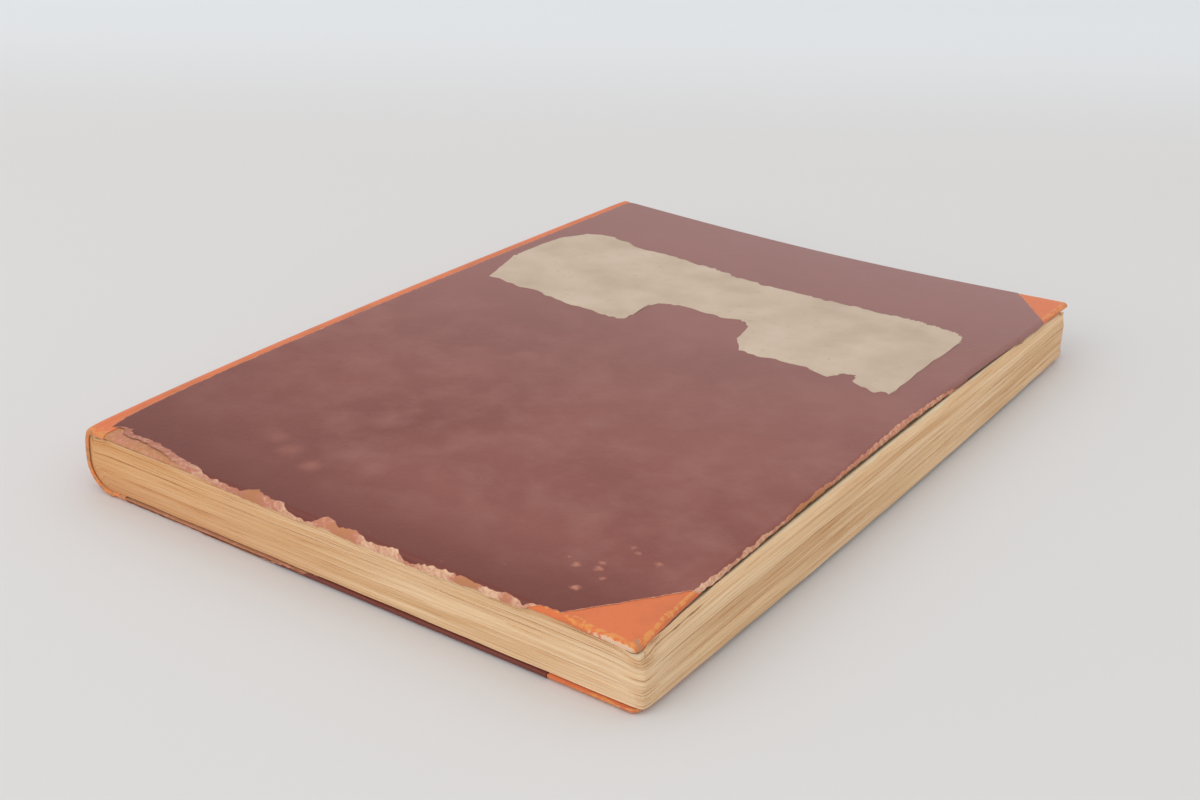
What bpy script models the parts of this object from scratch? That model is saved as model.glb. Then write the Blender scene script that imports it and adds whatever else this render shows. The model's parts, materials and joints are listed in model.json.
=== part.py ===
"""Old hardback book in half cloth, lying on its back cover.

The text block has a rounded back and nine sewn gatherings. Its back carries a paper lining, a
gauze mull and the cloth of the spine. Each cover is a board with a cloth joint strip, two cloth
corners, a side paper, a mull flap and a pastedown, and it swings about its joint beside the spine.

Shared layout of the drawing, in metres: X runs from the front joint towards the fore-edge, Y from
the tail edge to the head edge, Z up from the table. An empty centres the drawing on the origin.
The back leans: the joint of the back cover lies nearer the fore-edge than that of the front one.
"""
import math

import bmesh
import bpy
import numpy as np

# Covers
COVER_HEIGHT = 0.2400
COVER_WIDTH = 0.1625
CORNER_RADIUS = 0.0020
EDGE_ROUND = 0.0012
SKIN = 0.00025
BOARD = 0.0013
MULL = 0.00015
PASTEDOWN = 0.00015
GLUE_GAP = 0.0001
BUTT_GAP = 0.0003
COVER_START = 0.0004

# Cloth strip, corners and side paper
JOINT_STRIP = 0.0015
MULL_FLAP = 0.0180
PASTEDOWN_MARGIN = 0.0030
TAIL_CORNER_LEG = 0.0205
TAIL_CORNER_RISE = 0.0280
HEAD_CORNER_LEG = 0.0160
HEAD_CORNER_RISE = 0.0210
TONGUE_LENGTH = 0.0070
TONGUE_DEPTH = 0.0014
TEAR_DEPTH = 0.0060
FORE_WEAR = 0.0016
FORE_BITE = 0.0017

# Text block
BLOCK_THICKNESS = 0.0121
BLOCK_OVERHANG = 0.0025
FORE_BOW = 0.0013
TAIL_INSET = 0.0006
HEAD_SQUARE = 0.0060
GATHERINGS = 9
LEAF_GROOVE = 0.00035
FOLD_GROOVE = 0.0006
REST_GAP = 0.0003

# Spine
SPINE_DEPTH = 0.0055
SPINE_BOW = 0.0010
SPINE_END_ROUND = 0.0016
SPINE_END_REACH = 0.0070
SPINE_CLOTH = 0.0004
SPINE_LINING = 0.0003
MULL_SHORT = 0.0120
SHOULDER_STEP = 0.0002

# Warp of the front cover
FORE_HUMP = 0.0016
SPINE_HUMP = 0.0015
HEAD_SAG = 0.0020
CORNER_DROOP = 0.0010
DROOP_REACH = 0.0300

# Torn label
LABEL_PAPER = 0.0002
LABEL_TAIL = 0.1405
LABEL_LENGTH = 0.0590
LABEL_START = 0.0020
LABEL_WIDTH = 0.1480

# Joints
BACK_SHIFT = 0.0060
HINGE_LIFT = 0.00015
OVERRUN = 0.0040

# Shares of a plate between its rounded rims where its grid lines lie
WIDTH_SHARES = (0.0, 0.09, 0.22, 0.36, 0.5, 0.64, 0.78, 0.9, 1.0)
HEIGHT_SHARES = (0.0, 0.06, 0.16, 0.28, 0.39, 0.5, 0.61, 0.74, 0.87, 1.0)
FLAT_SHARES = (0.0, 1.0)
RIM_SHARES = (0.0, 0.3, 1.0)
SPINE_ANGLE_STEPS = 16
LEAF_LEVEL_SHARES = (0.0, 0.2, 0.8)
BLOCK_HUMP_SHARE = 0.75
HUMP_POWER = 0.6
SPINE_HUMP_SKEW = 0.7
SHOULDER_POWER = 0.75
SAG_POWER = 3
BITE_POWER = 8
BITE_LENGTH_SHARE = 0.83
SHARP_ANGLE = math.radians(35)

# Ragged tail edge of the front side paper: share of its length, share of TEAR_DEPTH
TAIL_TEAR_SHARES = (
    (0.00, 1.00), (0.05, 0.96), (0.09, 0.80), (0.13, 0.86), (0.17, 0.46), (0.22, 0.38),
    (0.26, 0.15), (0.31, 0.22), (0.35, 0.06), (0.39, 0.24), (0.43, 0.20), (0.46, 0.05),
    (0.50, 0.17), (0.53, 0.25), (0.57, 0.12), (0.60, 0.05), (0.64, 0.22), (0.68, 0.09),
    (0.71, 0.25), (0.75, 0.20), (0.79, 0.07), (0.83, 0.26), (0.88, 0.14), (0.93, 0.25),
    (1.00, 0.16),
)

# Worn fore-edge of the front side paper: share of its length, share of FORE_WEAR (below 0 is whole)
FORE_WEAR_SHARES = (
    (0.00, 0.75), (0.04, 1.00), (0.08, 0.60), (0.12, 0.85), (0.17, 0.55), (0.22, 0.90),
    (0.27, 0.62), (0.33, 0.80), (0.40, 0.50), (0.47, 0.62), (0.53, 0.35), (0.58, -1.0),
)

# Torn label outline: share of LABEL_WIDTH, share of LABEL_LENGTH
LABEL_SHARES = (
    (0.00, 0.22), (0.02, 0.45), (0.02, 0.73), (0.07, 0.98), (0.24, 1.00), (0.38, 0.94),
    (0.53, 0.88), (0.64, 0.84), (0.78, 0.83), (0.94, 0.95), (0.99, 0.85), (1.00, 0.42),
    (0.99, 0.02), (0.93, 0.05), (0.905, 0.11), (0.885, 0.04), (0.80, 0.06), (0.69, 0.03),
    (0.645, 0.25), (0.65, 0.43), (0.57, 0.38), (0.46, 0.40), (0.41, 0.28), (0.44, 0.06),
    (0.37, 0.03), (0.25, 0.08), (0.14, 0.07), (0.06, 0.12),
)

# Sizes that follow
CORE = SKIN + GLUE_GAP
INNER = CORE + BOARD
COVER = INNER + GLUE_GAP + MULL + GLUE_GAP + PASTEDOWN
THICKNESS = BLOCK_THICKNESS + 2 * (COVER + REST_GAP)
HALF = THICKNESS / 2
FORE_EDGE = COVER_WIDTH + BLOCK_OVERHANG
SPINE_LAYERS = SPINE_CLOTH + GLUE_GAP + MULL + GLUE_GAP + SPINE_LINING + GLUE_GAP
CENTRE_X = (FORE_EDGE - SPINE_DEPTH) / 2

COLOURS = {
    "leaves": ((0.62, 0.43, 0.25), 0.85),
    "lining_paper": ((0.42, 0.32, 0.20), 0.90),
    "gauze": ((0.66, 0.58, 0.44), 0.95),
    "orange_cloth": ((0.66, 0.20, 0.07), 0.80),
    "maroon_paper": ((0.22, 0.085, 0.07), 0.55),
    "grey_board": ((0.36, 0.27, 0.17), 0.90),
    "endpaper": ((0.64, 0.54, 0.38), 0.85),
    "label_paper": ((0.56, 0.46, 0.33), 0.85),
}


def clear_scene():
    """Remove every object, so that the book stands alone."""
    for old in list(bpy.data.objects):
        bpy.data.objects.remove(old, do_unlink=True)


def material(name):
    """Principled material of one of the book's stuffs."""
    made = bpy.data.materials.get(name)
    if made is None:
        colour, roughness = COLOURS[name]
        made = bpy.data.materials.new(name)
        made.use_nodes = True
        shader = made.node_tree.nodes["Principled BSDF"]
        shader.inputs["Base Color"].default_value = (*colour, 1.0)
        shader.inputs["Roughness"].default_value = roughness
        shader.inputs["Metallic"].default_value = 0.0
    return made


def empty(name, place, parent=None):
    """Empty that carries one body of the book."""
    made = bpy.data.objects.new(name, None)
    made.location = place
    made.parent = parent
    bpy.context.collection.objects.link(made)
    return made


def add_object(name, points, faces, carrier, pivot, stuff):
    """Object on its carrier; points are drawn in the shared layout and pivot is the carrier's place."""
    mesh = bpy.data.meshes.new(name)
    mesh.from_pydata((np.asarray(points) - np.asarray(pivot)).tolist(), [], faces)
    shape = bmesh.new()
    shape.from_mesh(mesh)
    bmesh.ops.recalc_face_normals(shape, faces=shape.faces)
    shape.to_mesh(mesh)
    shape.free()
    mesh.shade_smooth()
    mesh.set_sharp_from_angle(angle=SHARP_ANGLE)
    made = bpy.data.objects.new(name, mesh)
    made.parent = carrier
    if stuff:
        mesh.materials.append(material(stuff))
    bpy.context.collection.objects.link(made)
    return made


def as_cutter(made):
    """A cutter is only a guide: it isn't rendered and shows as wire."""
    made.hide_render = True
    made.display_type = "WIRE"
    return made


def boolean(made, cutter, operation):
    """Boolean modifier with the exact solver."""
    cut = made.modifiers.new(operation.lower(), "BOOLEAN")
    cut.operation = operation
    cut.solver = "EXACT"
    cut.object = cutter


def plate_mesh(xs, ys, place, levels=(0.0, 1.0)):
    """Closed plate over the grid xs by ys.

    place(x, y, t) gives the points at level t, from 0 on the lower face to 1 on the upper one.
    The two faces are whole grids, and rings of the rim at each level join them.
    """
    nx, ny = len(xs), len(ys)
    gx, gy = np.meshgrid(xs, ys, indexing="ij")
    index = np.arange(nx * ny).reshape(nx, ny)
    rim = np.concatenate([index[:, 0], index[-1, 1:], index[-2::-1, -1], index[0, -2:0:-1]])
    flat_x, flat_y = gx.ravel(), gy.ravel()
    points = [place(flat_x, flat_y, levels[0])]
    rings = [rim]
    offset = nx * ny
    for level in levels[1:-1]:
        points.append(place(flat_x[rim], flat_y[rim], level))
        rings.append(offset + np.arange(len(rim)))
        offset += len(rim)
    points.append(place(flat_x, flat_y, levels[-1]))
    rings.append(offset + rim)
    cells = np.stack([index[:-1, :-1], index[1:, :-1], index[1:, 1:], index[:-1, 1:]], -1)
    cells = cells.reshape(-1, 4)
    faces = cells[:, ::-1].tolist() + (cells + offset).tolist()
    for lower, upper in zip(rings, rings[1:]):
        wall = np.stack([lower, np.roll(lower, -1), np.roll(upper, -1), upper], -1)
        faces += wall.tolist()
    return np.concatenate(points), faces


def prism(name, outline, carrier, pivot):
    """Upright cutter over a closed outline, taller than the book."""
    count = len(outline)
    low = [(x, y, -OVERRUN) for x, y in outline]
    high = [(x, y, THICKNESS + OVERRUN) for x, y in outline]
    faces = [list(range(count))[::-1], list(range(count, 2 * count))]
    faces += [[i, (i + 1) % count, count + (i + 1) % count, count + i] for i in range(count)]
    return as_cutter(add_object(name, low + high, faces, carrier, pivot, None))


def warp(x, y, hump=1.0):
    """Rise of the front cover: humps along fore-edge and joint, a sagging head, a drooping corner."""
    across = np.clip(x / COVER_WIDTH, 0, 1)
    along = np.clip(y / COVER_HEIGHT, 0, 1)
    rise = hump * FORE_HUMP * across * np.abs(np.sin(math.pi * along)) ** HUMP_POWER
    rise = rise + hump * SPINE_HUMP * (1 - across) * np.sin(math.pi * along ** SPINE_HUMP_SKEW)
    sag = HEAD_SAG * np.sin(math.pi * across) * along ** SAG_POWER
    near = np.clip(1 - np.hypot(x - COVER_WIDTH, y) / DROOP_REACH, 0, 1)
    return rise - sag - CORNER_DROOP * near ** 2


def cover_start(front):
    """Where a cover begins beside its joint."""
    return COVER_START if front else BACK_SHIFT + COVER_START


def fore_bite(y):
    """How far the fore-edge of the front cover is worn back, from the tail past its middle."""
    run = np.clip(y / (BITE_LENGTH_SHARE * COVER_HEIGHT), 0, 1)
    return FORE_BITE * np.sqrt(np.sin(math.pi * run))


def surface(front, x, y, depth):
    """Height of the layer that lies depth under a cover's outer face."""
    if front:
        return THICKNESS + warp(x, y) - depth
    return depth + 0 * x


def rim_lines(low, high, radius, corner, shares, round_low):
    """Grid lines across a plate: close together in its rounded rims, by shares between them."""
    rim = np.unique(np.concatenate([np.asarray(RIM_SHARES) * radius, [corner]]))
    start = low + corner if round_low else low
    inside = start + (high - corner - start) * np.asarray(shares)
    lines = np.concatenate([low + rim if round_low else [low], inside, high - rim])
    return np.unique(np.round(lines, 9))


def slab(front, inset, bottom, flat, start):
    """Board-like plate, inset from the cover's outer face, with rounded corners and outer edges."""
    radius = min(EDGE_ROUND, BOARD) - inset
    corner = CORNER_RADIUS - inset
    right, tail, head = COVER_WIDTH - inset, inset, COVER_HEIGHT - inset
    across = FLAT_SHARES if flat else WIDTH_SHARES
    along = FLAT_SHARES if flat else HEIGHT_SHARES
    xs = rim_lines(start, right, radius, corner, across, False)
    ys = rim_lines(tail, head, radius, corner, along, True)

    def place(x, y, t):
        a = np.clip((x - (right - corner)) / corner, 0, 1)
        b = np.clip(np.maximum(tail + corner - y, y - (head - corner)) / corner, 0, 1)
        px = np.where(a > 0, right - corner + corner * a * np.sqrt(1 - b * b / 2), x)
        squeeze = b * np.sqrt(1 - a * a / 2)
        py = np.where(y < tail + corner, tail + corner - corner * squeeze, y)
        py = np.where(y > head - corner, head - corner + corner * squeeze, py)
        qx = np.clip(1 - (right - x) / radius, 0, 1)
        qy = np.clip(1 - np.minimum(y - tail, head - y) / radius, 0, 1)
        fall = radius * (1 - np.sqrt(1 - np.clip(qx * qx + qy * qy, 0, 1)))
        if front:
            px = px - fore_bite(py) * np.clip(x / (right - corner), 0, 1) ** BITE_POWER
        depth = inset + fall if t else bottom + 0 * x
        return np.stack([px, py, surface(front, px, py, depth)], -1)

    return plate_mesh(xs, ys, place)


def sheet(front, x_span, y_span, upper, lower, flat):
    """Thin plate with square edges that follows a cover, between two depths."""
    across = FLAT_SHARES if flat else WIDTH_SHARES
    along = FLAT_SHARES if flat else HEIGHT_SHARES
    xs = x_span[0] + (x_span[1] - x_span[0]) * np.asarray(across)
    ys = y_span[0] + (y_span[1] - y_span[0]) * np.asarray(along)

    def place(x, y, t):
        return np.stack([x, y, surface(front, x, y, upper if t else lower)], -1)

    return plate_mesh(xs, ys, place)


def corner_outline(leg, rise, head, tongue):
    """Outline of a cloth corner: its two outer sides overrun the cover, its third is the slant."""
    base, turn = (COVER_HEIGHT, -1) if head else (0, 1)
    outer = COVER_WIDTH + OVERRUN
    points = [(outer, base - turn * OVERRUN), (outer, base + turn * rise)]
    points += [(COVER_WIDTH, base + turn * rise)]
    if tongue:
        points += [(COVER_WIDTH - leg, TONGUE_DEPTH), (COVER_WIDTH - leg - TONGUE_LENGTH, TONGUE_DEPTH)]
        points += [(COVER_WIDTH - leg - TONGUE_LENGTH, -OVERRUN)]
    else:
        points += [(COVER_WIDTH - leg, base), (COVER_WIDTH - leg, base - turn * OVERRUN)]
    return points


def paper_outline(worn):
    """Outline of a side paper: whole, or torn along the tail and worn along the fore-edge."""
    left = cover_start(worn) + JOINT_STRIP - COVER_START + BUTT_GAP
    outer = COVER_WIDTH + OVERRUN
    corner_x = COVER_WIDTH - TAIL_CORNER_LEG - BUTT_GAP
    top = COVER_HEIGHT + OVERRUN
    points = [(left, top)]
    if worn:
        end = corner_x - TONGUE_LENGTH
        points += [(left + (end - left) * s, TEAR_DEPTH * d) for s, d in TAIL_TEAR_SHARES]
        points += [(corner_x - TONGUE_LENGTH, TONGUE_DEPTH + BUTT_GAP)]
        points += [(corner_x, TONGUE_DEPTH + BUTT_GAP)]
        low = TAIL_CORNER_RISE + BUTT_GAP
        run = COVER_HEIGHT - HEAD_CORNER_RISE - low
        for along, worn_share in FORE_WEAR_SHARES:
            y = low + run * along
            points += [(COVER_WIDTH - fore_bite(y) - FORE_WEAR * worn_share, y)]
        points += [(outer, low + run * FORE_WEAR_SHARES[-1][0])]
    else:
        points += [(left, -OVERRUN), (corner_x, -OVERRUN), (corner_x, 0)]
        points += [(COVER_WIDTH, TAIL_CORNER_RISE + BUTT_GAP), (outer, TAIL_CORNER_RISE + BUTT_GAP)]
    head_low = COVER_HEIGHT - HEAD_CORNER_RISE - BUTT_GAP
    head_x = COVER_WIDTH - HEAD_CORNER_LEG - BUTT_GAP
    return points + [(outer, head_low), (COVER_WIDTH, head_low), (head_x, COVER_HEIGHT), (head_x, top)]


def strip_outline(front):
    """Outline of the cloth strip beside the joint."""
    top = COVER_HEIGHT + OVERRUN
    right = cover_start(front) + JOINT_STRIP - COVER_START
    return [(-OVERRUN, -OVERRUN), (right, -OVERRUN), (right, top), (-OVERRUN, top)]


def build_cover(side, carrier, pivot):
    """One cover: board, wrapped cloth and paper skin, mull flap and pastedown."""
    front = side == "front"
    flat = not front
    start = cover_start(front)
    hollow = slab(front, SKIN, INNER + OVERRUN, flat, start - OVERRUN)
    hollow = as_cutter(add_object(side + "_skin_hollow", *hollow, carrier, pivot, None))
    outlines = {
        "hinge_cloth": (strip_outline(front), "orange_cloth"),
        "side_paper": (paper_outline(front), "maroon_paper"),
        "tail_corner": (corner_outline(TAIL_CORNER_LEG, TAIL_CORNER_RISE, False, front), "orange_cloth"),
        "head_corner": (corner_outline(HEAD_CORNER_LEG, HEAD_CORNER_RISE, True, False), "orange_cloth"),
    }
    for part, (outline, stuff) in outlines.items():
        name = side + "_" + part
        skin = add_object(name, *slab(front, 0, INNER, flat, start), carrier, pivot, stuff)
        boolean(skin, hollow, "DIFFERENCE")
        boolean(skin, prism(name + "_outline", outline, carrier, pivot), "INTERSECT")
    add_object(side + "_board", *slab(front, CORE, INNER, flat, start), carrier, pivot, "grey_board")
    flap_top = INNER + GLUE_GAP
    flap_y = (MULL_SHORT, COVER_HEIGHT - HEAD_SQUARE - MULL_SHORT)
    flap = sheet(front, (start, start + MULL_FLAP), flap_y, flap_top, flap_top + MULL, flat)
    add_object(side + "_mull_flap", *flap, carrier, pivot, "gauze")
    paste_x = (start, COVER_WIDTH - PASTEDOWN_MARGIN)
    paste_y = (PASTEDOWN_MARGIN, COVER_HEIGHT - PASTEDOWN_MARGIN)
    paste = sheet(front, paste_x, paste_y, COVER - PASTEDOWN, COVER, flat)
    add_object(side + "_pastedown", *paste, carrier, pivot, "endpaper")


def build_label(carrier, pivot):
    """Torn paper label glued across the front side paper near its head."""
    left = JOINT_STRIP + LABEL_START
    outline = [
        (left + LABEL_WIDTH * across, LABEL_TAIL + LABEL_LENGTH * along)
        for across, along in LABEL_SHARES
    ]
    x_span = (left - GLUE_GAP, left + LABEL_WIDTH + GLUE_GAP)
    y_span = (LABEL_TAIL - GLUE_GAP, LABEL_TAIL + LABEL_LENGTH + GLUE_GAP)
    paper = sheet(True, x_span, y_span, -GLUE_GAP - LABEL_PAPER, -GLUE_GAP, False)
    label = add_object("front_label", *paper, carrier, pivot, "label_paper")
    boolean(label, prism("front_label_outline", outline, carrier, pivot), "INTERSECT")


def spine_reach(y):
    """How far the rounded spine stands out from the joint line: bowed, and drawn in at its ends."""
    bow = SPINE_BOW * (np.sin(math.pi * np.clip(y / COVER_HEIGHT, 0, 1)) - 1)
    end = np.clip(1 - np.minimum(y, COVER_HEIGHT - y) / SPINE_END_REACH, 0, 1)
    return SPINE_DEPTH + bow - SPINE_END_ROUND * (1 - np.sqrt(1 - end ** 2))


def round_back(angle, y, layer):
    """Point in the layers of the rounded back, from the lower joint at -90 to the upper at 90 degrees.

    The lower half is an oval that begins at the back cover's joint; the upper one is fuller, and
    rises with the front cover.
    """
    lower = angle < 0
    power = np.where(lower, 1, SHOULDER_POWER)
    start = np.where(lower, BACK_SHIFT, 0) - COVER_START
    height = np.where(lower, HALF, HALF + warp(0 * y, y))
    x = start - (spine_reach(y) + start - layer) * np.cos(angle) ** power
    z = HALF + np.sign(angle) * (height - layer) * np.abs(np.sin(angle)) ** power
    return np.stack([x, y, z], -1)


def spine_lines(low, high):
    """Grid lines along the spine: close together where its ends are drawn in."""
    end = SPINE_END_REACH * np.asarray(RIM_SHARES)
    inside = SPINE_END_REACH + (COVER_HEIGHT - 2 * SPINE_END_REACH) * np.asarray(HEIGHT_SHARES)
    lines = np.concatenate([end, inside, COVER_HEIGHT - end])
    lines = lines[(lines > low + GLUE_GAP) & (lines < high - GLUE_GAP)]
    return np.unique(np.round(np.concatenate([[low, high], lines]), 9))


def spine_shell(name, inset, thick, y_span, carrier, pivot, stuff):
    """Half-oval shell round the back of the book: angle runs from the lower joint to the upper one."""
    angles = np.linspace(-math.pi / 2, math.pi / 2, SPINE_ANGLE_STEPS + 1)

    def place(angle, y, t):
        return round_back(angle, y, inset + thick * (1 - t))

    add_object(name, *plate_mesh(angles, spine_lines(*y_span), place), carrier, pivot, stuff)


def build_text_block(carrier, pivot):
    """Sewn leaves as one solid.

    Its back is round inside the spine's layers, its leaves fan out there to the full thickness,
    and a groove runs round the three cut faces between each two gatherings.
    """
    tail, head = TAIL_INSET, COVER_HEIGHT - HEAD_SQUARE
    base = COVER + REST_GAP
    levels = [(k + s) / GATHERINGS for k in range(GATHERINGS) for s in LEAF_LEVEL_SHARES] + [1.0]
    grooves = [k / GATHERINGS for k in range(GATHERINGS + 1)]
    inner = FORE_EDGE * np.asarray(WIDTH_SHARES[1:])
    xs = np.concatenate([[-COVER_START, SHOULDER_STEP - COVER_START], inner])
    ys = spine_lines(tail, head)

    def place(x, y, t):
        leaf = LEAF_GROOVE if t in grooves else 0
        fold = FOLD_GROOVE if t in grooves else 0
        py = np.where(y <= tail, tail + leaf, np.where(y >= head, head - leaf, y))
        bow = FORE_BOW * (1 - np.sin(math.pi * y / COVER_HEIGHT))
        px = np.where(x >= FORE_EDGE, FORE_EDGE - leaf - bow, x)
        lean = BACK_SHIFT * max(1 - 2 * t, 0)
        px = np.where(x == SHOULDER_STEP - COVER_START, px + lean, px)
        z = base + t * (BLOCK_THICKNESS + warp(px, py, BLOCK_HUMP_SHARE))
        cut = np.stack([px, py, z], -1)
        back = round_back(math.pi * (t - 1 / 2) + 0 * y, y, SPINE_LAYERS + fold * (0 < t < 1))
        back[..., 1] = py
        return np.where((x <= -COVER_START)[..., None], back, cut)

    add_object("text_block", *plate_mesh(xs, ys, place, levels), carrier, pivot, "leaves")


def build_spine(carrier, pivot):
    """Layers on the back of the text block, from the leaves outwards: lining, mull, cloth."""
    block = (TAIL_INSET, COVER_HEIGHT - HEAD_SQUARE)
    mull = (block[0] + MULL_SHORT, block[1] - MULL_SHORT)
    mull_inset = SPINE_CLOTH + GLUE_GAP
    lining_inset = mull_inset + MULL + GLUE_GAP
    spine_shell("spine_lining", lining_inset, SPINE_LINING, block, carrier, pivot, "lining_paper")
    spine_shell("spine_mull", mull_inset, MULL, mull, carrier, pivot, "gauze")
    spine_shell("spine_cloth", 0, SPINE_CLOTH, (0, COVER_HEIGHT), carrier, pivot, "orange_cloth")


def main():
    """The whole book: centred on the origin, with one empty for each swinging cover."""
    clear_scene()
    book = empty("book", (-CENTRE_X, -COVER_HEIGHT / 2, 0))
    front_pivot = (0, 0, THICKNESS + SPINE_HUMP + HINGE_LIFT)
    back_pivot = (BACK_SHIFT, 0, -HINGE_LIFT)
    front = empty("front_joint", front_pivot, book)
    back = empty("back_joint", back_pivot, book)
    build_text_block(book, (0, 0, 0))
    build_spine(book, (0, 0, 0))
    build_cover("front", front, front_pivot)
    build_label(front, front_pivot)
    build_cover("back", back, back_pivot)


main()
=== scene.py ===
"""Looks of an old hardback book in half cloth: leaves, cloth, torn side papers, board and label.

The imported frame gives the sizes. Every new piece is drawn in the shared layout of the book, X from
the joint line to the fore-edge, Y from the tail to the head, Z up, and moved onto the frame at the
end. Pieces of a cover are drawn flat as (x, y, depth under the outer face) and then laid on it.
"""
import json
import math

import bpy
import numpy as np
from mathutils import Matrix, Vector


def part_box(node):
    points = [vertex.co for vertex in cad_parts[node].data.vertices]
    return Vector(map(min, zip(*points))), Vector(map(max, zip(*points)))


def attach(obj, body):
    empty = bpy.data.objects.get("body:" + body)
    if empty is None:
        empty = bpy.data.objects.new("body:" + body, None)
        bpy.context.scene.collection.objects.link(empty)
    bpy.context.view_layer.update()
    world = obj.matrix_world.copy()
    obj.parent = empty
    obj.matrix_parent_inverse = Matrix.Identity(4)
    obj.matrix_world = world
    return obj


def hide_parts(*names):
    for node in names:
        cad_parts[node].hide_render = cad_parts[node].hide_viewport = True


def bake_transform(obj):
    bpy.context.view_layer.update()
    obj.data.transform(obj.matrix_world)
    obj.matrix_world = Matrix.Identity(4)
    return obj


bl_info = {
    "name": "Old half cloth book",
    "version": (1, 0, 0),
    "blender": (4, 5, 0),
    "location": "3D View > Sidebar > Book",
    "description": "Leaves, cloth, torn papers and board of an old hardback book on its packed frame",
    "category": "Object",
}

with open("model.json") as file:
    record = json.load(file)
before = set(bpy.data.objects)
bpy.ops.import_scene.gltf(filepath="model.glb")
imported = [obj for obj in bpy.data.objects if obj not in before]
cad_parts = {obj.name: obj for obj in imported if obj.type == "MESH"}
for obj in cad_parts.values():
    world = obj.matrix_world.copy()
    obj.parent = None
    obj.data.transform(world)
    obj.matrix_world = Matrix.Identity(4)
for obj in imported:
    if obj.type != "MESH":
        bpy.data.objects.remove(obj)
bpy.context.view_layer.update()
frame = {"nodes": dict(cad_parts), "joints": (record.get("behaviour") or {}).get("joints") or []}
MM = 0.001

# Rise of the front cover along its joint
SPINE_HUMP = 1.5 * MM
SPINE_HUMP_SKEW = 0.7

# Sizes that the frame gives
JOINT_X, _, FRONT_HINGE_Z = frame["joints"][0]["pos_m"]
BACK_HINGE_X, _, BACK_HINGE_Z = frame["joints"][1]["pos_m"]
BACK_SHIFT = BACK_HINGE_X - JOINT_X
SPINE_LOW, SPINE_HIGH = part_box("spine_cloth")
BLOCK_LOW, BLOCK_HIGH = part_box("text_block")
BACK_PASTE_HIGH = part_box("back_pastedown")[1]
TAIL_Y = SPINE_LOW.y
HEIGHT = SPINE_HIGH.y - SPINE_LOW.y
THICKNESS = FRONT_HINGE_Z + BACK_HINGE_Z - SPINE_HUMP
HALF = THICKNESS / 2
COVER_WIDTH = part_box("back_tail_corner")[1].x - JOINT_X
FORE_EDGE = BLOCK_HIGH.x - JOINT_X
SPINE_DEPTH = JOINT_X - SPINE_LOW.x
BLOCK_TAIL = BLOCK_LOW.y - TAIL_Y
BLOCK_HEAD = BLOCK_HIGH.y - TAIL_Y
SPINE_LAYERS = BLOCK_LOW.z
COVER_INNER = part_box("back_board")[1].z
BOARD_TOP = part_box("back_board")[0].z

# Layers of a cover, as depths under its outer face
PAPER_THICK = 0.20 * MM
CLOTH_DEPTH = 0.12 * MM
CLOTH_THICK = 0.16 * MM
EDGE_THICK = 1.5 * MM
UNDER_ROUND = 0.25 * MM
UNDER_SLOPE = 3.0 * MM
LEAF_GAP = 0.3 * MM
COVER_LIMIT = BACK_PASTE_HIGH.z + LEAF_GAP
BLOCK = THICKNESS - 2 * COVER_LIMIT

# Warp of the front cover, as in the frame's boards
BITE_POWER = 8
BITE_LENGTH_SHARE = 0.83
HUMP_POWER = 0.6
SAG_POWER = 3
DROOP_REACH = 30 * MM
BLOCK_HUMP_SHARE = 0.75

# Rounded spine
COVER_START = 0.4 * MM
SPINE_BOW = 1.0 * MM
SPINE_END_ROUND = 1.6 * MM
SPINE_END_REACH = 7.0 * MM
SHOULDER_POWER = 0.75
SHOULDER = 0.2 * MM


def srgb(code):
    """Linear colour of an sRGB hex code."""
    parts = np.array([int(code[i:i + 2], 16) for i in (1, 3, 5)]) / 255
    linear = np.where(parts <= 0.04045, parts / 12.92, ((parts + 0.055) / 1.055) ** 2.4)
    return (*linear.tolist(), 1.0)


def size_property(name, description, value):
    """Length of the book that a user may change."""
    return bpy.props.FloatProperty(name=name, description=description, default=value, unit="LENGTH")


def colour_property(name, description, code):
    """Colour of one of the book's stuffs."""
    return bpy.props.FloatVectorProperty(
        name=name, description=description, default=srgb(code), size=4, subtype="COLOR", min=0, max=1
    )


class BookSizes(bpy.types.PropertyGroup):
    """Sizes of the book beyond those that the frame fixes."""

    edge_round: size_property("Edge round", "Radius of the covers' worn edges", 1.2 * MM)
    corner_radius: size_property("Corner radius", "Radius of the covers' corners in plan", 2.0 * MM)
    fore_bite: size_property("Fore bite", "Wear of the front cover's fore-edge", 1.7 * MM)
    fore_hump: size_property("Fore hump", "Rise of the front cover along its fore-edge", 1.6 * MM)
    head_sag: size_property("Head sag", "Sag of the front cover at its head", 2.0 * MM)
    corner_droop: size_property("Corner droop", "Droop of the near corner", 1.0 * MM)
    fore_bow: size_property("Fore bow", "How far the leaves' corners are drawn in", 1.3 * MM)
    joint_strip: size_property("Joint strip", "Width of the cloth strip on a cover", 0.5 * MM)
    gatherings: bpy.props.IntProperty(
        name="Gatherings", description="Sewn gatherings in the text block", default=9, min=1
    )
    leaves: bpy.props.IntProperty(
        name="Leaves", description="Leaves that show in a gathering's edge", default=5, min=1
    )


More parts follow.
